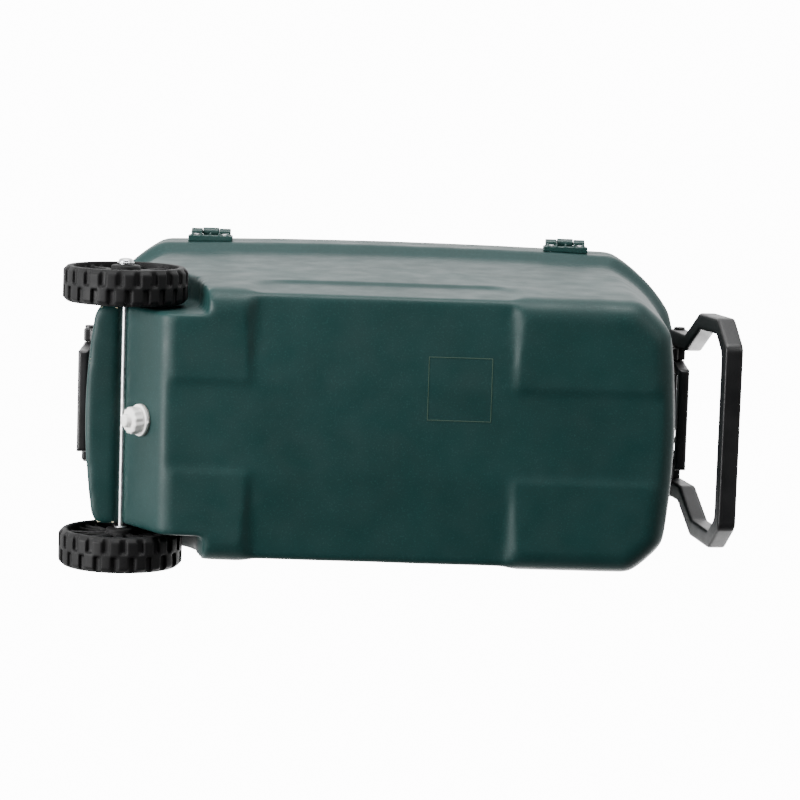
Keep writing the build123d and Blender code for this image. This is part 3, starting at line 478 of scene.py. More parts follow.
def applied(obj: bpy.types.Object) -> bpy.types.Object:
    """Turn an object's modifiers into its mesh.

    Args:
        obj: The object.

    Returns:
        The same object.
    """
    graph = bpy.context.evaluated_depsgraph_get()
    mesh = bpy.data.meshes.new_from_object(obj.evaluated_get(graph))
    old = obj.data
    obj.modifiers.clear()
    obj.data = mesh
    bpy.data.meshes.remove(old)
    return obj


def softened(
    bm: bmesh.types.BMesh, name: str, voxel: float, rounds: int, keep: float = 1.0
) -> bpy.types.Object:
    """Fuse closed forms into one moulded skin with soft edges.

    Args:
        bm: The closed forms, which may overlap.
        name: The object's name.
        voxel: The skin's mesh size in metres.
        rounds: How many smoothing steps round its edges.
        keep: The share of the faces left after thinning.

    Returns:
        The moulded object.
    """
    obj = put(bm, name)
    skin = obj.modifiers.new("skin", "REMESH")
    skin.mode = "VOXEL"
    skin.voxel_size = voxel
    skin.use_smooth_shade = True
    if rounds:
        soft = obj.modifiers.new("soft", "SMOOTH")
        soft.factor = 0.5
        soft.iterations = rounds
    if keep < 1.0:
        thin = obj.modifiers.new("thin", "DECIMATE")
        thin.ratio = keep
    applied(obj)
    obj.data.shade_smooth()
    return obj


def cad_form(*names: str) -> bmesh.types.BMesh:
    """A merged copy of CAD nodes' meshes.

    Args:
        *names: The nodes.

    Returns:
        The mesh.
    """
    bm = bmesh.new()
    for name in names:
        bm.from_mesh(frame["nodes"][name].data)
    bmesh.ops.remove_doubles(bm, verts=bm.verts, dist=MERGE)
    return bm


def islands(bm: bmesh.types.BMesh) -> list[list[bmesh.types.BMFace]]:
    """Part a mesh into its separate pieces.

    Args:
        bm: The mesh, with its faces numbered.

    Returns:
        The faces of each piece, in the order of their lowest faces.
    """
    left, found = set(bm.faces), []
    while left:
        seed = min(left, key=lambda f: f.index)
        left.discard(seed)
        island, queue = [], [seed]
        while queue:
            face = queue.pop()
            island.append(face)
            for edge in face.edges:
                for other in edge.link_faces:
                    if other in left:
                        left.discard(other)
                        queue.append(other)
        found.append(island)
    return found


def island_centres(node: str) -> list[Vector]:
    """Find the middle of the box round each separate solid of a CAD node.

    Args:
        node: The node.

    Returns:
        The middles.
    """
    bm = cad_form(node)
    bm.faces.index_update()
    centres = []
    for island in islands(bm):
        points = [v.co for f in island for v in f.verts]
        low = Vector(min(p[i] for p in points) for i in range(3))
        high = Vector(max(p[i] for p in points) for i in range(3))
        centres.append((low + high) / 2)
    bm.free()
    return centres


def mix(bm: bmesh.types.BMesh, extra: bmesh.types.BMesh) -> None:
    """Add one mesh to another.

    Args:
        bm: The mesh that grows.
        extra: The mesh that is added, freed afterwards.
    """
    mesh = bpy.data.meshes.new("extra")
    extra.to_mesh(mesh)
    extra.free()
    bm.from_mesh(mesh)
    bpy.data.meshes.remove(mesh)


def block(
    bm: bmesh.types.BMesh, centre: Vector, size: Triple, turn: Matrix | None = None
) -> None:
    """Add a closed block to a mesh.

    Args:
        bm: The mesh.
        centre: The block's middle.
        size: Its full sizes.
        turn: How it is turned about its middle.
    """
    place = Matrix.Translation(centre)
    if turn is not None:
        place = place @ turn.to_4x4()
    bmesh.ops.create_cube(bm, size=1.0, matrix=place @ Matrix.Diagonal((*size, 1.0)))


def turned(
    profile: list[Pair],
    seat: Vector,
    axis: Vector,
    segments: int = 64,
    flutes: int = 0,
    flute: float = 0.0,
    fluted: Pair = (0.0, 1.0),
) -> bmesh.types.BMesh:
    """A closed turned form, fluted over part of its height if asked.

    Args:
        profile: Heights along the axis and radii, the ends on the axis.
        seat: Where height 0 is.
        axis: The axis' direction.
        segments: How many sides it has.
        flutes: How many flutes run round it.
        flute: Their depth.
        fluted: The heights between which they are cut.

    Returns:
        The mesh.
    """
    bm = bmesh.new()
    turn = axis.to_track_quat("Z", "X").to_matrix()
    rings = []
    for height, radius in profile:
        ring = []
        for k in range(segments):
            angle = 2 * pi * k / segments
            r = radius
            if flutes and fluted[0] <= height <= fluted[1]:
                r -= flute * (0.5 + 0.5 * cos(flutes * angle)) * min(1.0, radius / fluted[1])
            ring.append(bm.verts.new(
                seat + turn @ Vector((r * cos(angle), r * sin(angle), height))))
        rings.append(ring)
    for low, high in zip(rings, rings[1:]):
        for k in range(segments):
            j = (k + 1) % segments
            bm.faces.new((low[k], low[j], high[j], high[k]))
    bmesh.ops.remove_doubles(bm, verts=bm.verts, dist=MERGE)
    bmesh.ops.dissolve_degenerate(bm, dist=MERGE, edges=bm.edges)
    bmesh.ops.holes_fill(bm, edges=[e for e in bm.edges if e.is_boundary])
    return bm


def finish_piece(
    obj: bpy.types.Object, body: str, finish: Finish, slot: Slot, *nodes: str
) -> bpy.types.Object:
    """Dress a piece, ride it on its body and hide the CAD nodes that it replaces.

    Args:
        obj: The piece.
        body: The CAD body that it moves with.
        finish: Its finish.
        slot: Its material slot in the record; not used.
        *nodes: The CAD nodes that it replaces.

    Returns:
        The piece.
    """
    dress(obj, finish)
    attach(obj, body)
    if nodes:
        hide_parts(*nodes)
    log.info("%s on %s, %d faces", obj.name, body, len(obj.data.polygons))
    return obj


def keep_node(node: str, finish: Finish) -> None:
    """Keep a CAD node's own shape and give it its finish.

    Args:
        node: The node.
        finish: Its finish.
    """
    dress(frame["nodes"][node], finish)
    log.info("%s kept", node)


def outer_skin(
    node: str, rim_z: float, up: int, walls: list[tuple[Vector, Vector, float]]
) -> bmesh.types.BMesh:
    """The outside of a hollow moulding as a closed form, its mouth drawn out past the rim.

    Args:
        node: The CAD node.
        rim_z: The height of its open rim.
        up: 1 where the mouth looks up, -1 where it looks down.
        walls: A point, a direction and a radius for each fastener's hole.

    Returns:
        The closed form.
    """
    bm = cad_form(node)
    on_wall = set()
    for point, direction, radius in walls:
        for v in bm.verts:
            away = v.co - point
            if (away - direction * away.dot(direction)).length < radius:
                on_wall.add(v)

    def on_rim(part: bmesh.types.BMFace | bmesh.types.BMEdge) -> bool:
        """Whether every corner of a face or an edge lies on the rim."""
        return all(abs(v.co.z - rim_z) < RIM_NEAR for v in part.verts)

    doomed = [f for f in bm.faces if on_rim(f) or all(v in on_wall for v in f.verts)]
    bmesh.ops.delete(bm, geom=doomed, context="FACES")
    bm.faces.index_update()

    def reach(island: list[bmesh.types.BMFace]) -> float:
        """How far out an island reaches from the middle."""
        return max(abs(v.co.x) + abs(v.co.y) for f in island for v in f.verts)

    found = sorted(islands(bm), key=reach)
    log.info("%s: %d skins", node, len(found))
    inner = [f for island in found[:-1] for f in island]
    bmesh.ops.delete(bm, geom=inner, context="FACES")
    mouth = [e for e in bm.edges if e.is_boundary and on_rim(e)]
    drawn = bmesh.ops.extrude_edge_only(bm, edges=mouth)["geom"]
    for v in (g for g in drawn if isinstance(g, bmesh.types.BMVert)):
        v.co.z += up * MOUTH_DRAWN
    bmesh.ops.holes_fill(bm, edges=[e for e in bm.edges if e.is_boundary], sides=0)
    return bm


def opened(obj: bpy.types.Object, rim_z: float, up: int, wall: float) -> None:
    """Cut a closed skin at its rim and give it a wall.

    Args:
        obj: The closed skin.
        rim_z: The height of the cut.
        up: 1 where the mouth looks up, -1 where it looks down.
        wall: The wall's thickness.
    """
    bm = bmesh.new()
    bm.from_mesh(obj.data)
    bmesh.ops.bisect_plane(
        bm, geom=[*bm.verts, *bm.edges, *bm.faces], plane_co=(0, 0, rim_z),
        plane_no=(0, 0, up), clear_outer=True,
    )
    bm.to_mesh(obj.data)
    bm.free()
    shell = obj.modifiers.new("wall", "SOLIDIFY")
    shell.thickness = wall
    shell.offset = -1.0
    shell.use_even_offset = False
    applied(obj)
    obj.data.shade_smooth()
    obj.data.set_sharp_from_angle(angle=radians(50))


def breathe(obj: bpy.types.Object, size: float, depth: float) -> None:
    """Give a moulded skin the slight unevenness of a cooled moulding.

    Args:
        obj: The skin.
        size: How broad the swells are.
        depth: How deep they are.
    """
    mesh = obj.data
    outward = [n.vector.copy() for n in mesh.vertex_normals]
    moved = []
    for v, normal in zip(mesh.vertices, outward):
        moved.extend(v.co + normal * (noise.noise(v.co / size) - 1.0) * depth * 0.5)
    mesh.vertices.foreach_set("co", moved)
    mesh.update()


def screw_axes(node: str, along: Vector) -> list[tuple[Vector, Vector, float]]:
    """Say where a shell's screw holes are.

    Args:
        node: The screws' CAD node.
        along: The screws' direction.

    Returns:
        A point on the axis, its direction and a radius for each hole.
    """
    return [(centre, along, SCREW_HOLE) for centre in island_centres(node)]


# ---------------------------------------------------------------- the body and the lid


@dataclass
class Body:
    """The moulded body with its foam and liner."""

    voxel: float = 3.6 * MM
    rounds: int = 9
    keep: float = 0.72
    wall: float = 2.5 * MM
    swell: float = 70 * MM
    swell_deep: float = 0.5 * MM
    drain_hole: float = 11.5 * MM
    label_at: Pair = (-88.5 * MM, 51.6 * MM)
    label_side: float = 73 * MM
    label_line: float = 0.9 * MM
    label_proud: float = 0.35 * MM
    label_sunk: float = 0.3 * MM
    label_steps: int = 48
    seek_from: float = 50 * MM  # how far below the ground the search for the foot starts

    def build(self) -> None:
        """Build and dress the skin, the outline on its foot and the pieces inside."""
        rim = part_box("body_shell")[1].z
        drain = Vector(joint("drain_seal_travel")["axis"]).normalized()
        low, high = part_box("drain_gasket")
        walls = [((low + high) / 2, drain, self.drain_hole)]
        walls += screw_axes("hinge_screws_body", ALONG_Y)
        for end in End:
            walls += screw_axes(f"bracket_screws_{end.name.lower()}_end", ALONG_X)
        form = outer_skin("body_shell", rim, 1, walls)
        skin = softened(form, "body_skin", self.voxel, self.rounds, self.keep)
        breathe(skin, self.swell, self.swell_deep)
        self.outline(skin)
        opened(skin, rim, 1, self.wall)
        finish_piece(skin, "body", GREEN, Slot.SHELL, "body_shell")
        keep_node("body_liner", LINER_WHITE)
        keep_node("body_insulation", FOAM)

    def outline(self, skin: bpy.types.Object) -> None:
        """Lay the thin square bead of the label field on the foot.

        Args:
            skin: The skin that it lies on.
        """
        graph = bpy.context.evaluated_depsgraph_get()
        tree = BVHTree.FromObject(skin, graph)
        half, line = self.label_side / 2, self.label_line / 2
        below = Vector((0, 0, self.seek_from))
        corners = [(-1, -1), (1, -1), (1, 1), (-1, 1)]
        bm = bmesh.new()
        rings = []
        for (x, y), (nx, ny) in zip(corners, corners[1:] + corners[:1]):
            for step in range(self.label_steps):
                t = step / self.label_steps
                at = Vector((x + (nx - x) * t, y + (ny - y) * t, 0))
                out = Vector((x, y, 0)) if step == 0 else Vector(
                    ((x + nx) / 2, (y + ny) / 2, 0))
                ring = []
                for shift, lift in ((-1, -1), (-0.5, 1), (0.5, 1), (1, -1)):
                    p = at * half + out * (line * shift)
                    p += body_middle() + Vector((*self.label_at, 0))
                    hit = tree.ray_cast(p - below, ALONG_Z)[0]
                    height = hit.z - self.label_proud if lift > 0 else hit.z + self.label_sunk
                    ring.append(bm.verts.new((p.x, p.y, height)))
                rings.append(ring)
        for a, b in zip(rings, rings[1:] + rings[:1]):
            for j in range(4):
                i = (j + 1) % 4
                bm.faces.new((a[j], b[j], b[i], a[i]))
        bead = put(bm, "label_outline", 30)
        # The bead's lighter green is a painted highlight of its raised ridge.
        finish_piece(bead, "body", GREEN_LINE_PAINTED_HIGHLIGHT, Slot.SHELL)


@dataclass
class Lid:
    """The lid's skin with the front lip, and the pieces under it."""

    voxel: float = 3.4 * MM
    rounds: int = 5
    keep: float = 0.7
    wall: float = 2.5 * MM
    lip_half: float = 80 * MM
    lip_out: float = 8.6 * MM
    lip_tall: float = 13.5 * MM
    lip_in: float = 2.2 * MM
    lip_grow: float = 1.2 * MM
    lip_lift: float = 0.1 * MM
    lip_steps: int = 40
    lip_voxel: float = 1.2 * MM
    swell: float = 80 * MM
    swell_deep: float = 0.4 * MM

    def build(self) -> None:
        """Build and dress the lid."""
        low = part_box("lid_shell")[0]
        form = outer_skin("lid_shell", low.z, -1, screw_axes("hinge_screws_lid", ALONG_Y))
        skin = softened(form, "lid_skin", self.voxel, self.rounds, self.keep)
        breathe(skin, self.swell, self.swell_deep)
        opened(skin, low.z, -1, self.wall)
        finish_piece(skin, "lid", GREEN, Slot.SHELL, "lid_shell")
        self.lip(low)
        keep_node("lid_liner", LINER_WHITE)
        keep_node("lid_insulation", FOAM)

    def lip(self, low: Vector) -> None:
        """Build the finger lip under the front edge, hollowed below.

        Args:
            low: The lid shell's lowest corner.
        """
        back = low.y + self.lip_out + self.lip_in
        section = [(0.0, 0.0), (0.35, 0.16), (0.8, 0.1), (1.0, 0.0), (1.0, 0.7), (0.8, 1.0),
                   (0.0, 1.0)]
        bm = bmesh.new()
        rings = []
        for step in range(self.lip_steps + 1):
            t = 2 * step / self.lip_steps - 1
            share = (1 - abs(t) ** 10) ** 0.5 if abs(t) < 1 else 0.02
            deep = (self.lip_out + self.lip_grow) * max(share, 0.25)
            rings.append([
                bm.verts.new((t * self.lip_half * 0.985, back - deep * out,
                              low.z + self.lip_lift
                              + self.lip_tall * (0.5 + (up - 0.5) * share)))
                for out, up in section
            ])
        count = len(section)
        for a, b in zip(rings, rings[1:]):
            for j in range(count):
                i = (j + 1) % count
                bm.faces.new((a[j], b[j], b[i], a[i]))
        bm.faces.new(rings[0])
        bm.faces.new(rings[-1])
        lip = softened(bm, "lid_grip_lip", self.lip_voxel, 3)
        finish_piece(lip, "lid", GREEN, Slot.SHELL)


# ---------------------------------------------------------------- wheels and axle


@dataclass
class Wheel:
    """One moulded wheel with its tread, ribs and hub."""

    side: Side
    voxel: float = 1.35 * MM
    rounds: int = 2
    ribs: int = 16
    rib_wide: float = 2.6 * MM
    ring_in: float = 61 * MM
    hub: float = 17 * MM
    face_shy: float = 7 * MM
    rib_into: float = 4 * MM

    def build(self) -> None:
        """Build and dress the wheel."""
        name = f"wheel_{self.side.name.lower()}"
        low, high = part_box(name)
        centre = (low + high) / 2
        form = cad_form(name)
        long = self.ring_in - self.hub + self.rib_into
        wide = high.y - low.y - 2 * self.face_shy
        for k in range(self.ribs):
            turn = Matrix.Rotation(2 * pi * (k + 0.5) / self.ribs, 3, "Y")
            middle = centre + turn @ Vector(((self.ring_in + self.hub) / 2, 0, 0))
            block(form, middle, (long, wide, self.rib_wide), turn)
        wheel = softened(form, f"{name}_moulding", self.voxel, self.rounds)
        finish_piece(wheel, name, WHEEL_BLACK, Slot.WHEEL, name)


@dataclass
class Axle:
    """The axle rod with its washers and push caps."""

    bevel: float = 0.8 * MM
    steps: int = 160
    wave_long: float = 9 * MM
    wave_deep: float = 0.06 * MM
    shy: float = 0.05 * MM
    washer_thick: float = 1.5 * MM
    washer_edge: float = 0.4 * MM
    cap_lip: float = 1.2 * MM
    cap_edge: float = 0.3 * MM
    dome_from: float = 2.2 * MM

    def build(self) -> None:
        """Build and dress the rod, its washers and its caps."""
        low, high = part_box("axle")
        radius = (high.z - low.z) / 2
        start = Vector(((low.x + high.x) / 2, low.y, (low.z + high.z) / 2))
        long, bevel = high.y - low.y, self.bevel
        profile = [(0, 0), (0, radius - bevel), (bevel, radius)]
        for k in range(1, self.steps):
            y = bevel + (long - 2 * bevel) * k / self.steps
            wave = noise.noise(Vector((0.0, y / self.wave_long, 3.0))) * self.wave_deep
            profile.append((y, radius - self.shy + wave))
        profile += [(long - bevel, radius), (long, radius - bevel), (long, 0)]
        rod = put(turned(profile, start, ALONG_Y, 40), "axle_rod")
        finish_piece(rod, "body", ROD, Slot.STEEL, "axle")
        self.washers()
        for side in Side:
            self.cap(side)

    def washers(self) -> None:
        """Build the four washers with bevelled edges."""
        low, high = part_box("axle_washers")
        radius = (high.z - low.z) / 2
        thick, edge = self.washer_thick, self.washer_edge
        profile = [(0, 0), (0, radius - edge), (edge, radius), (thick - edge, radius),
                   (thick, radius - edge), (thick, 0)]
        form = bmesh.new()
        for centre in island_centres("axle_washers"):
            mix(form, turned(profile, centre - ALONG_Y * thick / 2, ALONG_Y, 48))
        finish_piece(put(form, "washers"), "body", SCREW_METAL, Slot.STEEL, "axle_washers")

    def cap(self, side: Side) -> None:
        """Build one domed push cap.

        Args:
            side: The side of the cooler that it is on.
        """
        name = f"axle_cap_{side.name.lower()}"
        low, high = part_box(name)
        centre = (low + high) / 2
        radius, tall = (high.z - low.z) / 2, high.y - low.y
        seat = centre - Vector((0, side.value * tall / 2, 0))
        edge, lip = self.cap_edge, self.cap_lip
        profile = [(0, 0), (0, radius - edge), (edge, radius), (lip, radius),
                   (lip + 0.4 * MM, radius - 0.9 * MM)]
        dome = radius - 1.1 * MM
        for k in range(13):
            a = pi / 2 * k / 12
            height = self.dome_from + (tall - self.dome_from) * sin(a)
            profile.append((height, dome * cos(a) ** 0.55))
        finish_piece(
            put(turned(profile, seat, Vector((0, side.value, 0)), 56), f"{name}_dome"),
            "body", CAP_METAL, Slot.CAP, name,
        )


# ---------------------------------------------------------------- handles


@dataclass
class EndHandle:
    """A bracket with its lifting bail at one end."""

    end: End
    voxel: float = 1.1 * MM

    def build(self) -> None:
        """Build and dress the bracket, the bail and their pins."""
        tag = f"{self.end.name.lower()}_end"
        bracket = softened(cad_form(f"handle_bracket_{tag}"), f"bracket_{tag}_moulding",
                           self.voxel, 2)
        finish_piece(bracket, "body", BLACK, Slot.HANDLE, f"handle_bracket_{tag}")
        bail = softened(cad_form(f"side_handle_{tag}"), f"bail_{tag}_moulding",
                        self.voxel, 3)
        finish_piece(bail, f"side_handle_{tag}", BLACK, Slot.HANDLE, f"side_handle_{tag}")
        for side in Side:
            keep_node(f"handle_pin_{self.end.name.lower()}_{side.name.lower()}", PIN_BLACK)


@dataclass
class TowHandle:
    """The folding tow handle."""

    voxel: float = 1.5 * MM
    rounds: int = 4

    def build(self) -> None:
        """Build and dress the handle."""
        handle = softened(cad_form("tow_handle"), "tow_handle_moulding", self.voxel, self.rounds)
        finish_piece(handle, "tow_handle", BLACK, Slot.HANDLE, "tow_handle")


# ---------------------------------------------------------------- hinges and screws


@dataclass
class Hinge:
    """One lid hinge: its two leaves, ribbed, and its pin."""

    end: End
    voxel: float = 0.75 * MM
    ribs: int = 5
    rib: Triple = (1.8 * MM, 6 * MM, 9 * MM)
    rib_in: float = 7.6 * MM
    rib_up: float = 5 * MM

    def build(self) -> None:
        """Build and dress the hinge."""
        tag = f"{self.end.name.lower()}_side"
        body_leaf = cad_form(f"hinge_leaf_body_{tag}")
        low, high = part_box(f"hinge_leaf_body_{tag}")
        for k in range(self.ribs):
            x = low.x + (high.x - low.x) * (k + 0.5) / self.ribs
            middle = Vector((x, high.y - self.rib_in, low.z + self.rib_up))
            block(body_leaf, middle, self.rib)
        leaf = softened(body_leaf, f"hinge_base_{tag}", self.voxel, 1)
        finish_piece(leaf, "body", GREEN_HINGE, Slot.HINGE, f"hinge_leaf_body_{tag}")
        lid_leaf = softened(cad_form(f"hinge_leaf_lid_{tag}"), f"hinge_flap_{tag}",
                            self.voxel, 1)
        finish_piece(lid_leaf, "lid", GREEN_HINGE, Slot.HINGE, f"hinge_leaf_lid_{tag}")
        keep_node(f"hinge_pin_{tag}", SCREW_METAL)


@dataclass
class Screws:
    """The screws of the hinges and brackets, with cross recesses."""

    head: float = 4.0 * MM
    tall: float = 2.2 * MM
    shank: float = 2.0 * MM
    slot_long: float = 4.6 * MM
    slot_wide: float = 0.9 * MM
    slot_deep: float = 1.3 * MM
    tip: float = 2 * MM
    first_turn: float = 0.7
    next_turn: float = 1.9

    def one(self, long: float) -> bpy.types.Mesh:
        """Build one screw along +Z, its crown at the origin.

        Args:
            long: Its whole length.

        Returns:
            The mesh.
        """
        profile = [(-long, 0), (-long, self.shank * 0.4), (-long + self.tip, self.shank),
                   (-self.tall, self.shank), (-self.tall, self.head - 0.2 * MM),
                   (-self.tall + 0.4 * MM, self.head)]
        crown = self.tall * 0.6
        for k in range(8):
            a = pi / 2 * k / 7
            profile.append((-crown + crown * sin(a), self.head * cos(a) ** 0.7))
        screw = put(turned(profile, Vector(), ALONG_Z, 32), "screw")
        cutter = bmesh.new()
        for turn in (0.0, pi / 2):
            block(cutter, Vector(), (self.slot_long, self.slot_wide, 2 * self.slot_deep),
                  Matrix.Rotation(turn, 3, "Z"))
        tool = softened(cutter, "cross", 0.2 * MM, 1)
        cut = screw.modifiers.new("cross", "BOOLEAN")
        cut.object = tool
        cut.operation = "DIFFERENCE"
        applied(screw)
        bpy.data.objects.remove(tool)
        mesh = screw.data
        bpy.data.objects.remove(screw)
        return mesh

    def group(self, node: str, body: str, outward: Vector) -> None:
        """Put a screw where each of a group's solids is.

        Args:
            node: The group's CAD node.
            body: The body that it rides on.
            outward: The way that the heads face.
        """
        low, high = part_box(node)
        axis = 0 if abs(outward.x) > 0.5 else 1
        long = high[axis] - low[axis]
        mesh = self.one(long)
        bm = bmesh.new()
        turn = outward.to_track_quat("Z", "X").to_matrix().to_4x4()
        for k, centre in enumerate(island_centres(node)):
            spin = Matrix.Rotation(self.first_turn + self.next_turn * k, 4, "Z")
            place = Matrix.Translation(centre + outward * long / 2) @ turn @ spin
            copy = mesh.copy()
            copy.transform(place)
            bm.from_mesh(copy)
            bpy.data.meshes.remove(copy)
        bpy.data.meshes.remove(mesh)
        finish_piece(put(bm, f"{node}_heads", 35), body, SCREW_METAL, Slot.STEEL, node)

    def build(self) -> None:
        """Build every group."""
        self.group("hinge_screws_body", "body", ALONG_Y)
        self.group("hinge_screws_lid", "lid", ALONG_Y)
        for end in End:
            self.group(f"bracket_screws_{end.name.lower()}_end", "body", ALONG_X * end.value)


# ---------------------------------------------------------------- drain


@dataclass
class Drain:
    """The drain on the slope: gasket, spout with its flange, seal, cap and nut."""

    gasket: float = 1.5 * MM
    flange: float = 18.8 * MM
    flange_thick: float = 4.0 * MM
    tube: float = 11.0 * MM
    stub: float = 8.5 * MM
    cap: float = 16.0 * MM
    cap_gap: float = 0.5 * MM
    cap_tall: float = 12.0 * MM
    nub: float = 8.0 * MM
    nub_tall: float = 7.0 * MM
    flutes: int = 12
    flute: float = 1.5 * MM
    hole_gap: float = 0.3 * MM
    roof_gap: float = 1.8 * MM
    brow: Pair = (2.6 * MM, 3.4 * MM)
    tab: Triple = (2.4 * MM, 3.4 * MM, 2.2 * MM)
    tab_in: float = 0.2 * MM
    tab_up: float = 1.4 * MM

    def build(self) -> None:
        """Build and dress the drain."""
        out = Vector(joint("drain_seal_travel")["axis"]).normalized()
        low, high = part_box("drain_gasket")
        seat = (low + high) / 2 - out * self.gasket / 2
        top = self.gasket + self.flange_thick
        self.make_spout(seat, out)
        self.make_cap(seat, out, top)
        for node in ("drain_gasket", "drain_seal"):
            keep_node(node, RUBBER)
        keep_node("drain_nut", DRAIN_WHITE)

    def make_spout(self, seat: Vector, out: Vector) -> None:
        """Build the flange and its tube, with the tab at the flange's edge.

        Args:
            seat: The middle of the gasket's face on the slope.
            out: The drain's direction away from the slope.
        """
        form = cad_form("drain_spout")
        down = Vector((-out.z, 0, out.x))
        foot = seat - down * (self.flange - self.tab_in) + out * (self.gasket + self.tab_up)
        turn = Matrix((down, down.cross(out) * -1, out)).transposed()
        block(form, foot, self.tab, turn @ Matrix.Rotation(pi / 4, 3, "Z"))
        spout = softened(form, "drain_spout_moulding", 0.55 * MM, 1)
        finish_piece(spout, "body", DRAIN_WHITE, Slot.DRAIN, "drain_spout")

    def make_cap(self, seat: Vector, out: Vector, top: float) -> None:
        """Build the fluted cap with its lobed nub, hollow over the stub.

        Args:
            seat: The middle of the gasket's face on the slope.
            out: The drain's direction away from the slope.
            top: The height of the flange's face over the seat.
        """
        low = top + self.cap_gap
        high = low + self.cap_tall
        hole = self.tube + self.hole_gap
        inside = top + self.stub + self.roof_gap
        r, n, tall = self.cap, self.nub, self.nub_tall
        brow_tall, brow_in = self.brow
        profile = [(inside, 0), (inside, hole), (low, hole), (low, r - 1.2 * MM),
                   (low + 0.8 * MM, r - 0.3 * MM), (low + 1.8 * MM, r)]
        profile += [(low + (high - low) * t, r) for t in (0.3, 0.45, 0.6, 0.75)]
        for k in range(1, 7):
            a = pi / 2 * k / 6
            profile.append((high - brow_tall + brow_tall * sin(a), r - brow_in * (1 - cos(a))))
        profile += [(high, r - 5 * MM), (high, n + 1.6 * MM), (high + 0.6 * MM, n + 0.2 * MM),
                    (high + 1.6 * MM, n - 0.1 * MM), (high + tall * 0.7, n - 0.4 * MM),
                    (high + tall * 0.93, n - 1.3 * MM), (high + tall, n - 3 * MM),
                    (high + tall, 0)]
        bm = turned(profile, seat, out, 120, self.flutes, self.flute, (low + 1 * MM, high))
        cap = put(bm, "drain_cap_moulding", 60)
        finish_piece(cap, "drain_cap", DRAIN_WHITE, Slot.DRAIN, "drain_cap")


def body_middle() -> Vector:
    """Find the middle of the body in plan.

    Returns:
        The point on the ground.
    """
    low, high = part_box("body_shell")
    return Vector(((low.x + high.x) / 2, (low.y + high.y) / 2, 0.0))


def joint(name: str) -> dict:
    """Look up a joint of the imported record.

    Args:
        name: The joint's name.

    Returns:
        The joint's entry.
    """
    return next(j for j in frame["joints"] if j["name"] == name)


# ---------------------------------------------------------------- studio


@dataclass(frozen=True)
class Softbox:
    """A soft rectangular light, with its place and size in metres and its power in watts."""

    name: str
    at: Triple
    wide: float
    tall: float
    power: float

    def hang(self, target: Triple) -> None:
        """Hang the light.

        Args:
            target: The point that it looks at.
        """
        data = bpy.data.lights.new(self.name, "AREA")
        data.shape = "RECTANGLE"
        data.size, data.size_y, data.energy = self.wide, self.tall, self.power
        lamp = bpy.data.objects.new(self.name, data)
        lamp.location = self.at
        aim = Vector(target) - Vector(self.at)
        lamp.rotation_euler = aim.to_track_quat("-Z", "Y").to_euler()
        lamp.visible_camera = False
        bpy.context.scene.collection.objects.link(lamp)


SOFTBOXES = (
    Softbox("softbox_back", (0.2, 3.0, -0.7), 3.0, 1.4, 165.0),
    Softbox("softbox_wheel_end", (3.2, 0.4, -1.7), 1.6, 2.0, 290.0),
    Softbox("softbox_tow_end", (-2.9, 1.9, -2.4), 1.6, 1.6, 50.0),
    Softbox("softbox_above", (-0.8, -1.6, 2.6), 2.2, 2.2, 130.0),
)


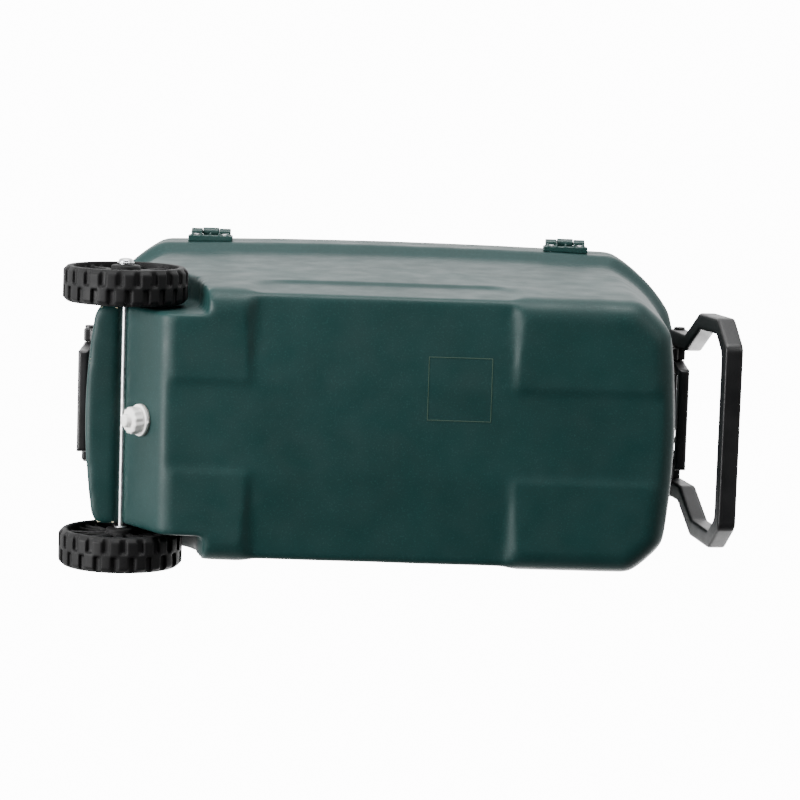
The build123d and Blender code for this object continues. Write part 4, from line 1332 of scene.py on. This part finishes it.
@dataclass
class Studio:
    """The camera under the cooler, the soft lights, the white surround and the floor."""

    camera_at: Triple = (-0.0014, 0.4472, -3.3235)
    right: Triple = (-0.99948, 0.03220, -0.00155)
    back: Triple = (0.00548, 0.12229, -0.99248)
    lens: float = 130.98
    sensor: float = 36.0
    white: float = 17.0
    dim: Pair = (-0.35, 0.04)  # where a direction's rise is this low, the light is this strong
    bright: Pair = (0.8, 3.3)  # and the same for its high end
    aim: Triple = (0, 0, 0.2)
    floor_half: float = 6.0
    floor_under: float = 0.5 * MM

    def build(self) -> None:
        """Set up the camera, the surround, the lights and the floor."""
        self.camera()
        self.surround()
        for softbox in SOFTBOXES:
            softbox.hang(self.aim)
        self.floor()

    def camera(self) -> None:
        """Make the camera first, looking up at the underside."""
        right = Vector(self.right).normalized()
        back = Vector(self.back)
        back = (back - right * back.dot(right)).normalized()
        up = back.cross(right)
        data = bpy.data.cameras.new("camera")
        data.lens = self.lens
        data.sensor_width = self.sensor
        data.clip_end = 50.0
        camera = bpy.data.objects.new("camera", data)
        turn = Matrix((right, up, back)).transposed().to_4x4()
        camera.matrix_world = Matrix.Translation(body_middle() + Vector(self.camera_at)) @ turn
        bpy.context.scene.collection.objects.link(camera)
        bpy.context.scene.camera = camera

    def surround(self) -> None:
        """White to the eye, and for light bright above and dim below."""
        world = bpy.data.worlds.new("studio")
        bpy.context.scene.world = world
        world.use_nodes = True
        tree = world.node_tree
        tree.nodes.clear()

        def add(kind: str) -> bpy.types.Node:
            """Add a node to the world."""
            return tree.nodes.new(kind)

        place, split, ramp = (add("ShaderNodeTexCoord"), add("ShaderNodeSeparateXYZ"),
                              add("ShaderNodeMapRange"))
        tree.links.new(place.outputs["Generated"], split.inputs[0])
        tree.links.new(split.outputs["Z"], ramp.inputs["Value"])
        for key, low, high in zip(("From", "To"), self.dim, self.bright):
            ramp.inputs[f"{key} Min"].default_value = low
            ramp.inputs[f"{key} Max"].default_value = high
        light, shown, path, both, out = (
            add("ShaderNodeBackground"), add("ShaderNodeBackground"),
            add("ShaderNodeLightPath"), add("ShaderNodeMixShader"), add("ShaderNodeOutputWorld"),
        )
        tree.links.new(ramp.outputs["Result"], light.inputs["Strength"])
        shown.inputs["Strength"].default_value = self.white
        tree.links.new(path.outputs["Is Camera Ray"], both.inputs["Fac"])
        tree.links.new(light.outputs[0], both.inputs[1])
        tree.links.new(shown.outputs[0], both.inputs[2])
        tree.links.new(both.outputs[0], out.inputs["Surface"])

    def floor(self) -> None:
        """Lay the pale floor, which is seen from above and not from below."""
        bm = bmesh.new()
        bmesh.ops.create_grid(bm, x_segments=2, y_segments=2, size=self.floor_half)
        floor = put(bm, "floor")
        w = Weave("floor_pale")
        w.link(w.blend(w.clouds(0.8), (0.80, 0.80, 0.79), (0.83, 0.83, 0.82)),
               w.shader.inputs["Base Color"])
        w.link(w.ramp(w.clouds(0.3), 0.3, 0.7, 0.55, 0.65), w.shader.inputs["Roughness"])
        clear = w.node("ShaderNodeBsdfTransparent")
        both = w.node("ShaderNodeMixShader")
        w.link(w.node("ShaderNodeNewGeometry").outputs["Backfacing"], both.inputs["Fac"])
        w.link(w.shader.outputs[0], both.inputs[1])
        w.link(clear.outputs[0], both.inputs[2])
        w.link(both.outputs[0], w.tree.nodes["Material Output"].inputs["Surface"])
        floor.data.materials.append(w.material)
        floor.location.z = -self.floor_under
        for ray in ("diffuse", "glossy", "transmission", "shadow", "volume_scatter"):
            setattr(floor, f"visible_{ray}", False)


def main() -> None:
    """Build the studio and every sub-assembly in order."""
    logging.basicConfig(level=logging.INFO, format="%(name)s %(message)s")
    Studio().build()
    Body().build()
    Lid().build()
    for side in Side:
        Wheel(side).build()
    Axle().build()
    for end in End:
        EndHandle(end).build()
        Hinge(end).build()
    TowHandle().build()
    Screws().build()
    Drain().build()


if __name__ == "__main__":
    main()
